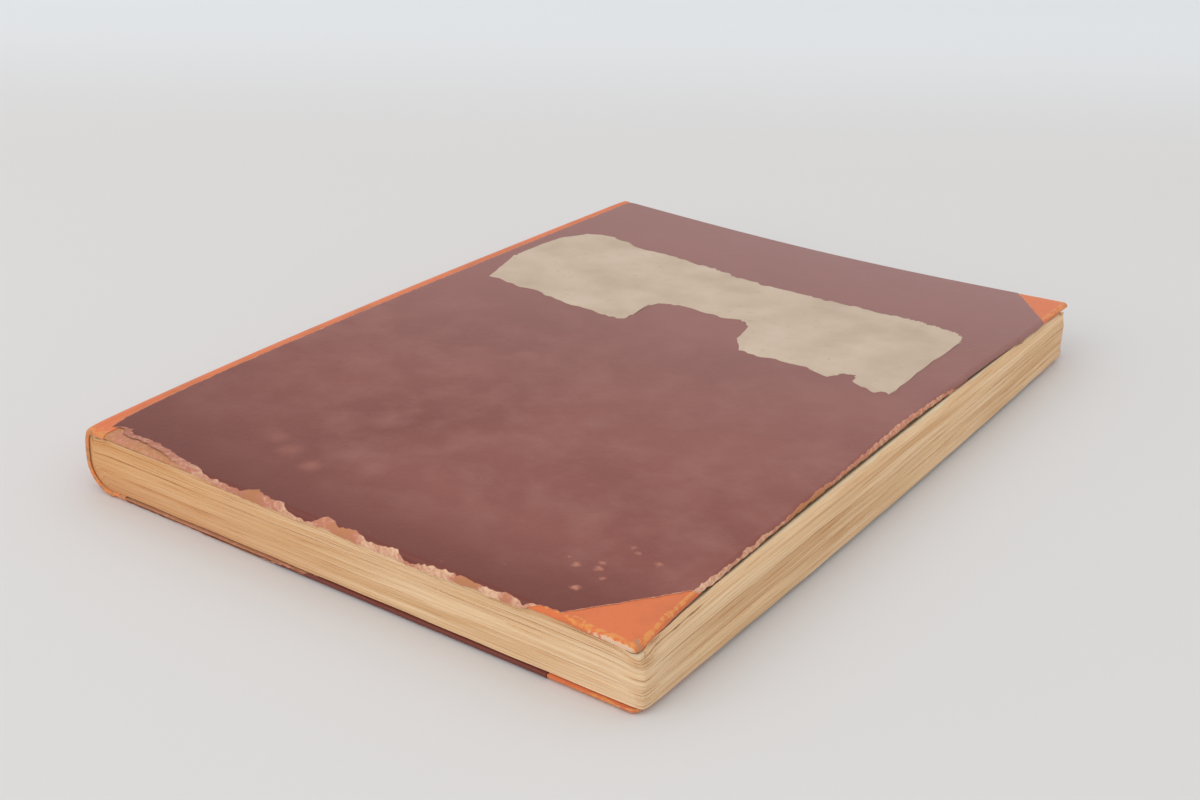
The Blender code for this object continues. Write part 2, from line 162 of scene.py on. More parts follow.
class BookColours(bpy.types.PropertyGroup):
    """Colours of the book's stuffs."""

    maroon: colour_property("Maroon", "Side paper", "#8B4C42")
    # Used for the paper's clouds, its darker tail and the painted shade by the spine's tail end
    maroon_dark: colour_property("Dark maroon", "Side paper where it is grimy", "#6B3026")
    # Also the colour of the painted shade on torn rims by the spine's tail end
    maroon_light: colour_property("Light maroon", "Side paper where it is rubbed", "#98635A")
    # Painted sheen: the greyer maroon that the side paper takes towards the head
    maroon_painted_sheen: colour_property("Faded maroon", "Side paper faded towards the head", "#996D67")
    core: colour_property("Torn core", "Fibres of the side paper where it is torn", "#C27F69")
    core_pale: colour_property("Pale core", "Whitish fibres in a tear", "#E0B797")
    orange: colour_property("Orange", "Book cloth", "#E0733C")
    orange_deep: colour_property("Deep orange", "Book cloth where it is grimy", "#B9602F")
    orange_worn: colour_property("Worn orange", "Threads laid bare along the edges", "#E59248")
    orange_chalk: colour_property("Chalky orange", "Starch left where the orange is rubbed off", "#E2BC9C")
    board: colour_property("Board", "Bare strawboard", "#BA7F58")
    leaf: colour_property("Leaf edge", "Toned edges of the leaves", "#E6C49B")
    leaf_warm: colour_property("Warm leaf edge", "Edges browned near the spine", "#D3985C")
    leaf_dark: colour_property("Dark leaf edge", "Darker bands of the edges", "#CFA476")
    leaf_pale: colour_property("Pale leaf edge", "Paler bands of the edges", "#F2DFC0")
    endpaper: colour_property("Endpaper", "Pastedowns and fly leaves", "#D9C9A8")
    label: colour_property("Label", "Torn label", "#CDB9A5")
    label_stain: colour_property("Label stain", "Foxing of the label", "#B7A28B")
    table: colour_property("Table", "Pale floor", "#DAD8D7")
    # Painted light: the table pales into this colour towards the back, standing in for brighter light there
    backdrop: colour_property("Backdrop", "Paler ground behind the table", "#E4E7EA")


def sizes():
    """The book's sizes in this scene."""
    return bpy.context.scene.book_sizes


def colours():
    """The book's colours in this scene."""
    return bpy.context.scene.book_colours


def smooth(share):
    """Share from 0 to 1, eased at both ends."""
    share = np.clip(share, 0, 1)
    return share * share * (3 - 2 * share)


def ragged(run, spacing, seed):
    """Torn line: straight runs between random heights from -1 to 1, one at each spacing."""
    knots = np.random.default_rng(seed).uniform(-1, 1, int(run.max() / spacing) + 3)
    return np.interp(run / spacing, np.arange(len(knots)), knots)


def bell(distance, reach):
    """Bell curve: 1 at no distance, and falling off over the reach."""
    return np.exp(-(distance / reach) ** 2)


def tattered(run, tatters, seed=0):
    """Sum of torn lines, each with its depth, its spacing and its number, which is added to the seed."""
    return sum(depth * ragged(run, spacing, seed + number) for depth, spacing, number in tatters)


def wander(run, waves, seed):
    """Slow wave from about -1 to 1: a mean of sines of the given wave lengths."""
    phases = np.random.default_rng(seed).uniform(0, 2 * math.pi, len(waves))
    return sum(np.sin(2 * math.pi * run / w + p) for w, p in zip(waves, phases)) / len(waves)


def warp(x, y, hump=1.0):
    """Rise of the front cover: humps along fore-edge and joint, a sagging head, a drooping corner."""
    s = sizes()
    across = np.clip(x / COVER_WIDTH, 0, 1)
    along = np.clip(y / HEIGHT, 0, 1)
    rise = hump * s.fore_hump * across * np.abs(np.sin(math.pi * along)) ** HUMP_POWER
    rise = rise + hump * SPINE_HUMP * (1 - across) * np.sin(math.pi * along ** SPINE_HUMP_SKEW)
    sag = s.head_sag * np.sin(math.pi * across) * along ** SAG_POWER
    near = np.clip(1 - np.hypot(x - COVER_WIDTH, y) / DROOP_REACH, 0, 1)
    return rise - sag - s.corner_droop * near ** 2


def on_cover(side, flat):
    """Points of a cover: (x, y, depth) in its plan, laid under the outer face of that cover.

    On the front cover the fore-edge is worn back by half a sine wave, and the face follows the warp.
    """
    s = sizes()
    x, y, depth = np.moveaxis(flat, -1, 0)
    if side == "back":
        return np.stack([x, y, depth], -1)
    run = np.clip(y / (BITE_LENGTH_SHARE * HEIGHT), 0, 1)
    bite = s.fore_bite * np.sqrt(np.sin(math.pi * run))
    x = x - bite * np.clip(x / (COVER_WIDTH - s.corner_radius), 0, 1) ** BITE_POWER
    return np.stack([x, y, THICKNESS + warp(x, y) - depth], -1)


def spine_reach(y):
    """How far the rounded spine stands out from the joint line: bowed, and drawn in at its ends."""
    bow = SPINE_BOW * (np.sin(math.pi * np.clip(y / HEIGHT, 0, 1)) - 1)
    end = np.clip(1 - np.minimum(y, HEIGHT - y) / SPINE_END_REACH, 0, 1)
    return SPINE_DEPTH + bow - SPINE_END_ROUND * (1 - np.sqrt(1 - end ** 2))


def cover_start(side):
    """Where a cover begins beside its joint."""
    return COVER_START + (BACK_SHIFT if side == "back" else 0)


def round_back(angle, y, layer):
    """Point in the layers of the rounded back, from the lower joint at -90 to the upper at 90 degrees.

    The lower half is an oval that begins at the back cover's joint; the upper one is fuller, and
    rises with the front cover.
    """
    lower = angle < 0
    power = np.where(lower, 1, SHOULDER_POWER)
    start = np.where(lower, BACK_SHIFT, 0) - COVER_START
    height = np.where(lower, HALF, HALF + warp(0 * y, y))
    x = start - (spine_reach(y) + start - layer) * np.cos(angle) ** power
    z = HALF + np.sign(angle) * (height - layer) * np.abs(np.sin(angle)) ** power
    return np.stack([x, y + 0 * x, z], -1)


def edge_profile(run, turned=True):
    """Reach, drop and outward normal of a cover's edge, at a run past the start of its rounding.

    A quarter arc, a straight side, then a small arc and a run back under the cover, which thickens
    inwards. A torn paper isn't turned in: it hangs straight down past the arc.
    """
    radius = sizes().edge_round
    arc = radius * math.pi / 2
    side = EDGE_THICK - radius - UNDER_ROUND
    under = UNDER_ROUND * math.pi / 2
    turn = np.clip(run / arc, 0, 1) * math.pi / 2
    reach = radius * np.sin(turn)
    drop = radius * (1 - np.cos(turn))
    if not turned:
        return reach, drop + np.clip(run - arc, 0, None), np.sin(turn), np.cos(turn)
    tuck = np.clip((run - arc - side) / under, 0, 1) * math.pi / 2
    back = np.clip(run - arc - side - under, 0, None)
    full = COVER_INNER + CLOTH_DEPTH + CLOTH_THICK - EDGE_THICK
    drop = drop + np.clip(run - arc, 0, side) + UNDER_ROUND * np.sin(tuck)
    drop = drop + full * smooth(back / UNDER_SLOPE)
    reach = reach - UNDER_ROUND * (1 - np.cos(tuck)) - back
    return reach, drop, np.sin(turn) * np.cos(tuck), np.cos(turn) - np.sin(tuck)


def spokes(middle, edge, shares):
    """Plan points on the way from a middle point to each point of an edge, at the given shares."""
    return middle + (edge[None] - middle) * np.array(shares)[:, None, None]


def shell(outer, lower):
    """Sections that run out on the outer face of a thin sheet and back on its lower face."""
    return np.concatenate([outer, lower[:, ::-1]], 1)


def loft(name, loops, stuffs, cap="fan", marks=None, face_rows=None, sharp=60):
    """Closed mesh of closed loops of points, placed on the frame.

    Neighbouring loops are joined by quads. Each end loop is closed by a fan to its middle, or, for a
    thin shell whose loop runs out on one face and back on the other, by a strip between the two.
    Marks are values on the points, as (rows, columns) or (rows, columns, 3). Face_rows gives the
    material slot of each row of faces, and a fan has the slot of the first row.
    """
    rows, columns = loops.shape[:2]
    index = np.arange(rows * columns).reshape(rows, columns)
    ring = np.concatenate([index, index[:, :1]], 1)
    faces = np.stack([ring[:-1, :-1], ring[:-1, 1:], ring[1:, 1:], ring[1:, :-1]], -1)
    slots = np.zeros(rows - 1, int) if face_rows is None else np.asarray(face_rows)
    slots = np.repeat(slots, columns).tolist()
    faces = faces.reshape(-1, 4).tolist()
    points = loops.reshape(-1, 3)
    if cap == "fan":
        points = np.concatenate([points, loops[:1].mean(1), loops[-1:].mean(1)])
        caps = ((ring[0, 1:], ring[0, :-1]), (ring[-1, :-1], ring[-1, 1:]))
        for end, (one, other) in enumerate(caps):
            middle = np.full(columns, rows * columns + end)
            faces += np.stack([one, other, middle], -1).tolist()
        slots += [slots[0]] * (2 * columns)
    else:
        half = columns // 2
        for row, turn in ((index[0], -1), (index[-1], 1)):
            out, back = row[:half], row[::-1][:half]
            strip = np.stack([out[:-1], out[1:], back[1:], back[:-1]], -1)[:, ::turn]
            faces += strip.tolist()
            slots += [0] * len(strip)
    mesh = bpy.data.meshes.new(name)
    mesh.from_pydata((points + np.array([JOINT_X, TAIL_Y, 0])).tolist(), [], faces)
    mesh.polygons.foreach_set("material_index", slots)
    for mark, values in (marks or {}).items():
        width = 1 if values.ndim == 2 else 3
        flat = values.reshape(-1, width)
        flat = np.concatenate([flat, flat[:1], flat[-1:]])[:len(points)]
        kind = "FLOAT" if width == 1 else "FLOAT_VECTOR"
        layer = mesh.attributes.new(mark, kind, "POINT")
        layer.data.foreach_set("value" if width == 1 else "vector", flat.astype(np.float32).ravel())
    made = bpy.data.objects.new(name, mesh)
    bpy.context.scene.collection.objects.link(made)
    turn_outward(mesh)
    mesh.shade_smooth()
    mesh.set_sharp_from_angle(angle=math.radians(sharp))
    for material in stuffs:
        mesh.materials.append(material)
    return made


def turn_outward(mesh):
    """Flips all faces if the volume that they enclose comes out negative."""
    mesh.calc_loop_triangles()
    corners = np.zeros(3 * len(mesh.loop_triangles), np.int32)
    mesh.loop_triangles.foreach_get("vertices", corners)
    points = np.zeros(len(mesh.vertices) * 3)
    mesh.vertices.foreach_get("co", points)
    a, b, c = np.moveaxis(points.reshape(-1, 3)[corners.reshape(-1, 3)], 1, 0)
    if (a * np.cross(b, c)).sum() < 0:
        mesh.flip_normals()
    mesh.update()


# Stuffs of the book

# Grain of the stuffs: the widths of their clouds, spots and fibres, and the spacing of threads
PAPER_CLOUD = 38 * MM
PAPER_RUB = 11 * MM
PAPER_TREMBLE = 2.0 * MM
PAPER_TREMBLE_REACH = 2.4 * MM
PAPER_CRUMB = 1.6 * MM
PAPER_FIBRE = 1.0 * MM
PAPER_GRAIN = 0.7 * MM
CLOTH_CLOUD = 12 * MM
CLOTH_BLOT = 1.3 * MM
CLOTH_THREAD = 0.45 * MM
STRAW_PATCH = 4 * MM
STRAW_FIBRE = 1.2 * MM
LEAF_BAND = (90 * MM, 1.9 * MM)
LEAF_LINE = (45 * MM, 0.35 * MM)
LEAF_RIDGE = (20 * MM, 0.2 * MM)
OLD_PAPER_CLOUD = 18 * MM
OLD_PAPER_FOXING = 3 * MM
OLD_PAPER_TOOTH = 0.5 * MM
GAUZE_THREAD = 1.2 * MM

# Heights of the reliefs, drawn a little coarse so that they show
PAPER_RELIEF = 0.05 * MM
CLOTH_RELIEF = 0.04 * MM
STRAW_RELIEF = 0.12 * MM
LEAF_RELIEF = 0.05 * MM
OLD_PAPER_RELIEF = 0.03 * MM
GAUZE_RELIEF = 0.08 * MM

# Where the cover darkens towards the tail, where its painted shade by the spine's tail end and its painted
# sheen towards the head reach, where the leaves brown, and where they pale at the near corner
TAIL_DARKENING = (2 * MM, 26 * MM)
SPINE_END_SHADE = 75 * MM
PAINTED_SHEEN_START = 60 * MM
BROWNING = 95 * MM
NEAR_CORNER_PALLOR_REACH = 30 * MM

# Scale of a wave texture whose bands lie 1 m apart; over a thread spacing it gives that spacing
WAVE_SCALE = 2 / 6.28


def add(tree, kind, sockets=None, **settings):
    """Adds a shader node with its settings; a socket takes a value, or the output that feeds it."""
    made = tree.nodes.new("ShaderNode" + kind)
    for name, value in settings.items():
        setattr(made, name, value)
    for name, value in (sockets or {}).items():
        if isinstance(value, bpy.types.NodeSocket):
            tree.links.new(value, made.inputs[name])
        else:
            made.inputs[name].default_value = value
    return made.outputs


def new_stuff(name):
    """Empty node material and its tree."""
    made = bpy.data.materials.new(name)
    made.use_nodes = True
    made.node_tree.nodes.clear()
    return made, made.node_tree


def close_stuff(tree, colour, roughness, height, relief, more=None):
    """Ends a material: a Principled surface with its colour, roughness and a bump of that relief."""
    bump = add(tree, "Bump", {"Height": height, "Distance": relief, "Strength": 1.0})
    sockets = {"Base Color": colour, "Roughness": roughness, "Normal": bump["Normal"], **(more or {})}
    surface = add(tree, "BsdfPrincipled", sockets)
    add(tree, "OutputMaterial", {"Surface": surface["BSDF"]})


RUB_SOFT_SHARE = 1.4

# Small rubbed spots of the front cover, in mm: how far past the joint line and from the tail, and the
# radius, then the strength
RUB_SPOTS = (
    (134.8, 17.9, 1.0, 0.75), (138.6, 21.6, 0.9, 0.65), (139.4, 19.2, 1.0, 0.7), (142.3, 16.5, 0.9, 0.7),
    (139.8, 10.3, 0.9, 0.9), (149.0, 28.2, 1.0, 0.7), (140.8, 30.6, 0.8, 0.5), (142.8, 29.4, 0.8, 0.5),
    (131.8, 19.6, 0.6, 0.5), (47.2, 20.5, 3.4, 0.2), (57.2, 17.5, 3.0, 0.28), (41.0, 24.0, 3.0, 0.14),
)


def rub_marks(tree, shaken, crumbs):
    """Share of the glaze that is rubbed off: fine crumbs all over, and the cover's own soft spots."""
    scuff = add(tree, "MapRange", {"Value": crumbs, "From Min": 0.7, "From Max": 0.8, "To Max": 0.3})[0]
    for x, y, radius, strength in RUB_SPOTS:
        centre = (JOINT_X + x * MM, TAIL_Y + y * MM, 0)
        off = add(tree, "VectorMath", {0: shaken, 1: centre}, operation="DISTANCE")["Value"]
        spot = add(tree, "MapRange", {
            "Value": off, "From Max": RUB_SOFT_SHARE * radius * MM, "To Min": strength, "To Max": 0.0
        }, interpolation_type="SMOOTHSTEP")[0]
        scuff = add(tree, "Math", {0: scuff, 1: spot}, operation="MAXIMUM")[0]
    return scuff


def torn_fibres(tree, place, painted_shade_and_pallor):
    """Colour of a torn rim, by the mark tone: pale fibres at 0, the pink core at 0.5, board at 1; darkened
    by the painted shade that it is given.
    """
    c = colours()
    tone = add(tree, "Attribute", attribute_name="tone")["Fac"]
    fibre = add(tree, "TexNoise", {"Vector": place, "Scale": 1 / PAPER_FIBRE, "Detail": 6.0})["Fac"]
    strays = add(tree, "MapRange", {
        "Value": fibre, "From Min": 0.3, "From Max": 0.7, "To Min": -0.3, "To Max": 0.3
    })[0]
    tone = add(tree, "Math", {0: tone, 1: strays}, operation="ADD")[0]
    pink = add(tree, "MapRange", {"Value": tone, "From Min": 0.05, "From Max": 0.55})[0]
    torn = add(tree, "Mix", {0: pink, 6: tuple(c.core_pale), 7: tuple(c.core)}, data_type="RGBA")[2]
    brown = add(tree, "MapRange", {"Value": tone, "From Min": 0.55, "From Max": 0.9})[0]
    torn = add(tree, "Mix", {0: brown, 6: torn, 7: tuple(c.board)}, data_type="RGBA")[2]
    # Painted shade: the rims darken towards the tail end of the spine
    rim_shade = add(tree, "Math", {0: painted_shade_and_pallor, 1: 0.85}, operation="MULTIPLY")[0]
    return add(tree, "Mix", {0: rim_shade, 6: torn, 7: tuple(c.maroon_light)}, data_type="RGBA")[2]


def maroon_side_paper():
    """Glazed maroon side paper: faint clouds and rubs, darker at the tail, painted shade by the spine's tail
    end, a painted sheen towards the head, torn rims.

    Its patches are shaken by a fine tremble, so that no darkening or spot ends in a smooth line. The mark
    bare is 1 on a torn rim, where the fibres show instead.
    """
    made, tree = new_stuff("maroon_side_paper")
    c = colours()
    place = add(tree, "TexCoord")["Object"]
    clouds = add(tree, "TexNoise", {"Vector": place, "Scale": 1 / PAPER_CLOUD, "Detail": 2.0})["Fac"]
    cloudy = add(tree, "MapRange", {"Value": clouds, "From Min": 0.2, "From Max": 0.7, "To Min": 0.35})[0]
    colour = add(tree, "Mix", {0: cloudy, 6: tuple(c.maroon_dark), 7: tuple(c.maroon)}, data_type="RGBA")[2]
    patch = add(tree, "TexNoise", {
        "Vector": place, "Scale": 1 / PAPER_RUB, "Detail": 6.0, "Roughness": 0.6
    })["Fac"]
    rubbed = add(tree, "MapRange", {"Value": patch, "From Min": 0.42, "From Max": 0.75, "To Max": 0.8})[0]
    colour = add(tree, "Mix", {0: rubbed, 6: colour, 7: tuple(c.maroon_light)}, data_type="RGBA")[2]
    tremble = add(tree, "TexNoise", {"Vector": place, "Scale": 1 / PAPER_TREMBLE, "Detail": 3.0})["Color"]
    shift = add(tree, "VectorMath", {0: tremble, 1: (0.5, 0.5, 0.5)}, operation="SUBTRACT")[0]
    shift = add(tree, "VectorMath", {0: shift, "Scale": PAPER_TREMBLE_REACH}, operation="SCALE")[0]
    shaken = add(tree, "VectorMath", {0: place, 1: shift}, operation="ADD")[0]
    shaken = add(tree, "VectorMath", {0: shaken, 1: (1, 1, 0)}, operation="MULTIPLY")[0]
    y = add(tree, "SeparateXYZ", {"Vector": shaken})["Y"]
    # Darker towards the tail
    tail = add(tree, "MapRange", {
        "Value": y, "From Min": TAIL_Y + TAIL_DARKENING[0], "From Max": TAIL_Y + TAIL_DARKENING[1],
        "To Min": 0.8, "To Max": 0.0
    })[0]
    colour = add(tree, "Mix", {0: tail, 6: colour, 7: tuple(c.maroon_dark)}, data_type="RGBA")[2]
    # Painted shade: darker towards the tail end of the spine
    spine_end = (JOINT_X, TAIL_Y, 0)
    far = add(tree, "VectorMath", {0: shaken, 1: spine_end}, operation="DISTANCE")["Value"]
    painted_shade_and_pallor = add(tree, "MapRange", {"Value": far, "From Max": SPINE_END_SHADE, "To Min": 0.6, "To Max": 0.0})[0]
    colour = add(tree, "Mix", {0: painted_shade_and_pallor, 6: colour, 7: tuple(c.maroon_dark)}, data_type="RGBA")[2]
    # Painted sheen: the paper turns greyer towards the head
    head = add(tree, "MapRange", {
        "Value": y, "From Min": TAIL_Y + PAINTED_SHEEN_START, "From Max": TAIL_Y + HEIGHT, "To Max": 0.8
    })[0]
    colour = add(tree, "Mix", {0: head, 6: colour, 7: tuple(c.maroon_painted_sheen)}, data_type="RGBA")[2]
    crumbs = add(tree, "TexNoise", {"Vector": place, "Scale": 1 / PAPER_CRUMB, "Detail": 4.0})["Fac"]
    scuff = rub_marks(tree, shaken, crumbs)
    colour = add(tree, "Mix", {0: scuff, 6: colour, 7: tuple(c.core)}, data_type="RGBA")[2]
    bare = add(tree, "Attribute", attribute_name="bare")["Fac"]
    torn = torn_fibres(tree, place, painted_shade_and_pallor)
    colour = add(tree, "Mix", {0: bare, 6: colour, 7: torn}, data_type="RGBA")[2]
    gloss = add(tree, "MapRange", {"Value": patch, "To Min": 0.3, "To Max": 0.55})[0]
    gloss = add(tree, "Math", {0: gloss, 1: bare}, operation="MAXIMUM")[0]
    grain = add(tree, "TexNoise", {"Vector": place, "Scale": 1 / PAPER_GRAIN, "Detail": 3.0})["Fac"]
    height = add(tree, "Math", {0: crumbs, 1: grain}, operation="ADD")[0]
    close_stuff(tree, colour, gloss, height, PAPER_RELIEF, {"Specular IOR Level": 0.3})
    return made


def orange_book_cloth():
    """Starched orange book cloth: a fine plain weave, grimy in places, rubbed at its edges.

    The mark worn holds three shares: ochre threads laid bare, chalky starch, and board or glue.
    """
    made, tree = new_stuff("orange_book_cloth")
    c = colours()
    place = add(tree, "TexCoord")["Object"]
    lay = add(tree, "Attribute", attribute_name="lay")["Vector"]
    clouds = add(tree, "TexNoise", {"Vector": place, "Scale": 1 / CLOTH_CLOUD, "Detail": 4.0})["Fac"]
    grime = add(tree, "MapRange", {"Value": clouds, "From Min": 0.5, "From Max": 0.85})[0]
    colour = add(tree, "Mix", {0: grime, 6: tuple(c.orange), 7: tuple(c.orange_deep)}, data_type="RGBA")[2]
    worn = add(tree, "Attribute", attribute_name="worn")["Vector"]
    worn = add(tree, "SeparateXYZ", {"Vector": worn})
    blot = add(tree, "TexNoise", {"Vector": place, "Scale": 1 / CLOTH_BLOT, "Detail": 6.0})["Fac"]
    blots = add(tree, "MapRange", {
        "Value": blot, "From Min": 0.3, "From Max": 0.7, "To Min": -0.6, "To Max": 0.33
    })[0]
    for rubbed, shown in (("X", c.orange_worn), ("Y", c.orange_chalk), ("Z", c.board)):
        share = add(tree, "Math", {0: worn[rubbed], 1: blots}, operation="ADD")[0]
        share = add(tree, "MapRange", {"Value": share, "From Min": 0.35, "From Max": 0.65})[0]
        colour = add(tree, "Mix", {0: share, 6: colour, 7: tuple(shown)}, data_type="RGBA")[2]
    threads = {"Vector": lay, "Scale": WAVE_SCALE / CLOTH_THREAD}
    warp_threads = add(tree, "TexWave", threads, bands_direction="X")["Fac"]
    weft_threads = add(tree, "TexWave", threads, bands_direction="Y")["Fac"]
    weave = add(tree, "Math", {0: warp_threads, 1: weft_threads}, operation="ADD")[0]
    shade = add(tree, "MapRange", {"Value": weave, "From Max": 2.0, "To Min": 0.0, "To Max": 0.14})[0]
    colour = add(tree, "Mix", {0: shade, 6: colour, 7: tuple(c.orange_deep)}, data_type="RGBA")[2]
    close_stuff(tree, colour, 0.72, weave, CLOTH_RELIEF, {"Sheen Weight": 0.15})
    return made


def bare_strawboard():
    """Bare strawboard, pressed from straw pulp: brownish, with pink and whitish paper fibres on it."""
    made, tree = new_stuff("bare_strawboard")
    c = colours()
    place = add(tree, "TexCoord")["Object"]
    fibre = add(tree, "TexNoise", {"Vector": place, "Scale": 1 / STRAW_FIBRE, "Detail": 6.0})["Fac"]
    patch = add(tree, "TexNoise", {"Vector": place, "Scale": 1 / STRAW_PATCH, "Detail": 5.0})["Fac"]
    left = add(tree, "MapRange", {"Value": patch, "From Min": 0.45, "From Max": 0.7, "To Max": 0.8})[0]
    colour = add(tree, "Mix", {0: left, 6: tuple(c.board), 7: tuple(c.core)}, data_type="RGBA")[2]
    pale = add(tree, "MapRange", {"Value": fibre, "From Min": 0.5, "From Max": 0.8, "To Max": 0.5})[0]
    colour = add(tree, "Mix", {0: pale, 6: colour, 7: tuple(c.core_pale)}, data_type="RGBA")[2]
    close_stuff(tree, colour, 0.9, fibre, STRAW_RELIEF)
    return made


def leaf_edges():
    """Cut edges of old rag paper leaves, toned tan: long streaks, paler and darker gatherings, and dark fine
    lines that are partly the edges' own tone and partly painted shade of the grooves between leaves.
    """
    made, tree = new_stuff("leaf_edges")
    c = colours()
    lay = add(tree, "Attribute", attribute_name="lay")["Vector"]
    bands = add(tree, "Mapping", {"Vector": lay, "Scale": (1 / LEAF_BAND[0], 1 / LEAF_BAND[1], 1)})[0]
    band = add(tree, "TexNoise", {"Vector": bands, "Scale": 1.0, "Detail": 2.0})["Fac"]
    band_share = add(tree, "MapRange", {"Value": band, "From Min": 0.35, "From Max": 0.65})[0]
    colour = add(tree, "Mix", {0: band_share, 6: tuple(c.leaf_dark), 7: tuple(c.leaf)}, data_type="RGBA")[2]
    lines = add(tree, "Mapping", {"Vector": lay, "Scale": (1 / LEAF_LINE[0], 1 / LEAF_LINE[1], 1)})[0]
    line = add(tree, "TexNoise", {"Vector": lines, "Scale": 1.0, "Detail": 3.0})["Fac"]
    pale = add(tree, "MapRange", {"Value": line, "From Min": 0.5, "From Max": 0.75, "To Max": 0.5})[0]
    colour = add(tree, "Mix", {0: pale, 6: colour, 7: tuple(c.leaf_pale)}, data_type="RGBA")[2]
    # Dark fine lines: partly the edges' own tone, partly painted shade of the grooves between leaves
    dark = add(tree, "MapRange", {
        "Value": line, "From Min": 0.28, "From Max": 0.45, "To Min": 0.4, "To Max": 0.0
    })[0]
    colour = add(tree, "Mix", {0: dark, 6: colour, 7: tuple(c.leaf_dark)}, data_type="RGBA")[2]
    place = add(tree, "TexCoord")["Object"]
    along = add(tree, "SeparateXYZ", {"Vector": place})
    warm = add(tree, "MapRange", {
        "Value": along["X"], "From Min": JOINT_X, "From Max": JOINT_X + BROWNING, "To Min": 0.75,
        "To Max": 0.0
    })[0]
    colour = add(tree, "Mix", {0: warm, 6: colour, 7: tuple(c.leaf_warm)}, data_type="RGBA")[2]
    low = add(tree, "MapRange", {
        "Value": along["Z"], "From Min": COVER_LIMIT, "From Max": HALF, "To Min": 0.7, "To Max": 0.0
    })[0]
    low = add(tree, "Math", {0: low, 1: warm}, operation="MULTIPLY")[0]
    colour = add(tree, "Mix", {0: low, 6: colour, 7: tuple(c.board)}, data_type="RGBA")[2]
    # Paler towards the block's near corner
    near = (JOINT_X + FORE_EDGE, TAIL_Y, HALF)
    far = add(tree, "VectorMath", {0: place, 1: near}, operation="DISTANCE")["Value"]
    painted_shade_and_pallor = add(tree, "MapRange", {
        "Value": far, "From Max": NEAR_CORNER_PALLOR_REACH, "To Min": 0.2, "To Max": 0.0
    })[0]
    colour = add(tree, "Mix", {0: painted_shade_and_pallor, 6: colour, 7: tuple(c.leaf_pale)}, data_type="RGBA")[2]
    pitch = add(tree, "Mapping", {"Vector": lay, "Scale": (1 / LEAF_RIDGE[0], 1 / LEAF_RIDGE[1], 1)})[0]
    ridge = add(tree, "TexNoise", {"Vector": pitch, "Scale": 1.0, "Detail": 2.0})["Fac"]
    close_stuff(tree, colour, 0.85, ridge, LEAF_RELIEF)
    return made


def toned_paper(name, colour, stain, toning):
    """Plain old paper: faint clouds, foxing spots and a soft tooth."""
    made, tree = new_stuff(name)
    place = add(tree, "TexCoord")["Object"]
    clouds = add(tree, "TexNoise", {"Vector": place, "Scale": 1 / OLD_PAPER_CLOUD, "Detail": 5.0})["Fac"]
    cloudy = add(tree, "MapRange", {
        "Value": clouds, "From Min": 0.35, "From Max": 0.7, "To Max": toning
    })[0]
    base = add(tree, "Mix", {0: cloudy, 6: tuple(colour), 7: tuple(stain)}, data_type="RGBA")[2]
    fox = add(tree, "TexNoise", {"Vector": place, "Scale": 1 / OLD_PAPER_FOXING, "Detail": 4.0})["Fac"]
    foxing = add(tree, "MapRange", {"Value": fox, "From Min": 0.62, "From Max": 0.75, "To Max": 0.7})[0]
    base = add(tree, "Mix", {0: foxing, 6: base, 7: tuple(stain)}, data_type="RGBA")[2]
    tooth = add(tree, "TexNoise", {"Vector": place, "Scale": 1 / OLD_PAPER_TOOTH, "Detail": 3.0})["Fac"]
    close_stuff(tree, base, 0.88, tooth, OLD_PAPER_RELIEF)
    return made


def starched_gauze():
    """Open starched gauze: a coarse grid of threads with darker glue between them."""
    made, tree = new_stuff("starched_gauze")
    c = colours()
    place = add(tree, "TexCoord")["Object"]
    grid = {"Vector": place, "Scale": WAVE_SCALE / GAUZE_THREAD}
    across = add(tree, "TexWave", grid, bands_direction="Z")["Fac"]
    along = add(tree, "TexWave", grid, bands_direction="Y")["Fac"]
    threads = add(tree, "Math", {0: across, 1: along}, operation="MAXIMUM")[0]
    colour = add(tree, "Mix", {0: threads, 6: tuple(c.board), 7: tuple(c.endpaper)}, data_type="RGBA")[2]
    close_stuff(tree, colour, 0.9, threads, GAUZE_RELIEF)
    return made


STUFF_MAKERS = {
    "maroon_paper": maroon_side_paper,
    "orange_cloth": orange_book_cloth,
    "grey_board": bare_strawboard,
    "leaves": leaf_edges,
    "endpaper": lambda: toned_paper("toned_endpaper", colours().endpaper, colours().leaf_dark, 0.35),
    "label_paper": lambda: toned_paper("foxed_label_paper", colours().label, colours().label_stain, 0.8),
    "lining_paper": lambda: toned_paper("brown_lining_paper", colours().board, colours().leaf_dark, 0.5),
    "gauze": starched_gauze,
}


def stuff(slot):
    """Material of one of the record's slots, made once."""
    key = "book_stuff_" + slot
    if key not in bpy.context.scene:
        bpy.context.scene[key] = STUFF_MAKERS[slot]().name
    return bpy.data.materials[bpy.context.scene[key]]


# Text block

# Columns round the text block along each stretch of its outline, closer towards the near corner
BLOCK_COLUMNS = {"shoulder": 9, "tail": 190, "near": 14, "fore": 200, "far": 7, "head": 60, "back": 52}
CROWDING = 1.5
FACING_FORE = 0.7
CORNER_ROUND = 0.9 * MM
BLOCK_FACE_SHARES = (
    0.05, 0.2, 0.35, 0.5, 0.64, 0.77, 0.87, 0.93, 0.955, 0.965, 0.973, 0.98, 0.987, 0.994,
)

# Free margin of the leaves past the pastedowns, and the curl of the uppermost at the near corner
PASTE_MARGIN = 2.9 * MM
PASTE_EDGE = COVER_WIDTH - PASTE_MARGIN
MARGIN_RUN = 2.6 * MM
MARGIN_GAP = 0.08 * MM
MARGIN_START = 6 * MM
CORNER_CURL = 0.9 * MM
CURL_RUN = 1.6 * MM
CURL_REACH = 8 * MM
CURL_POWER = 4

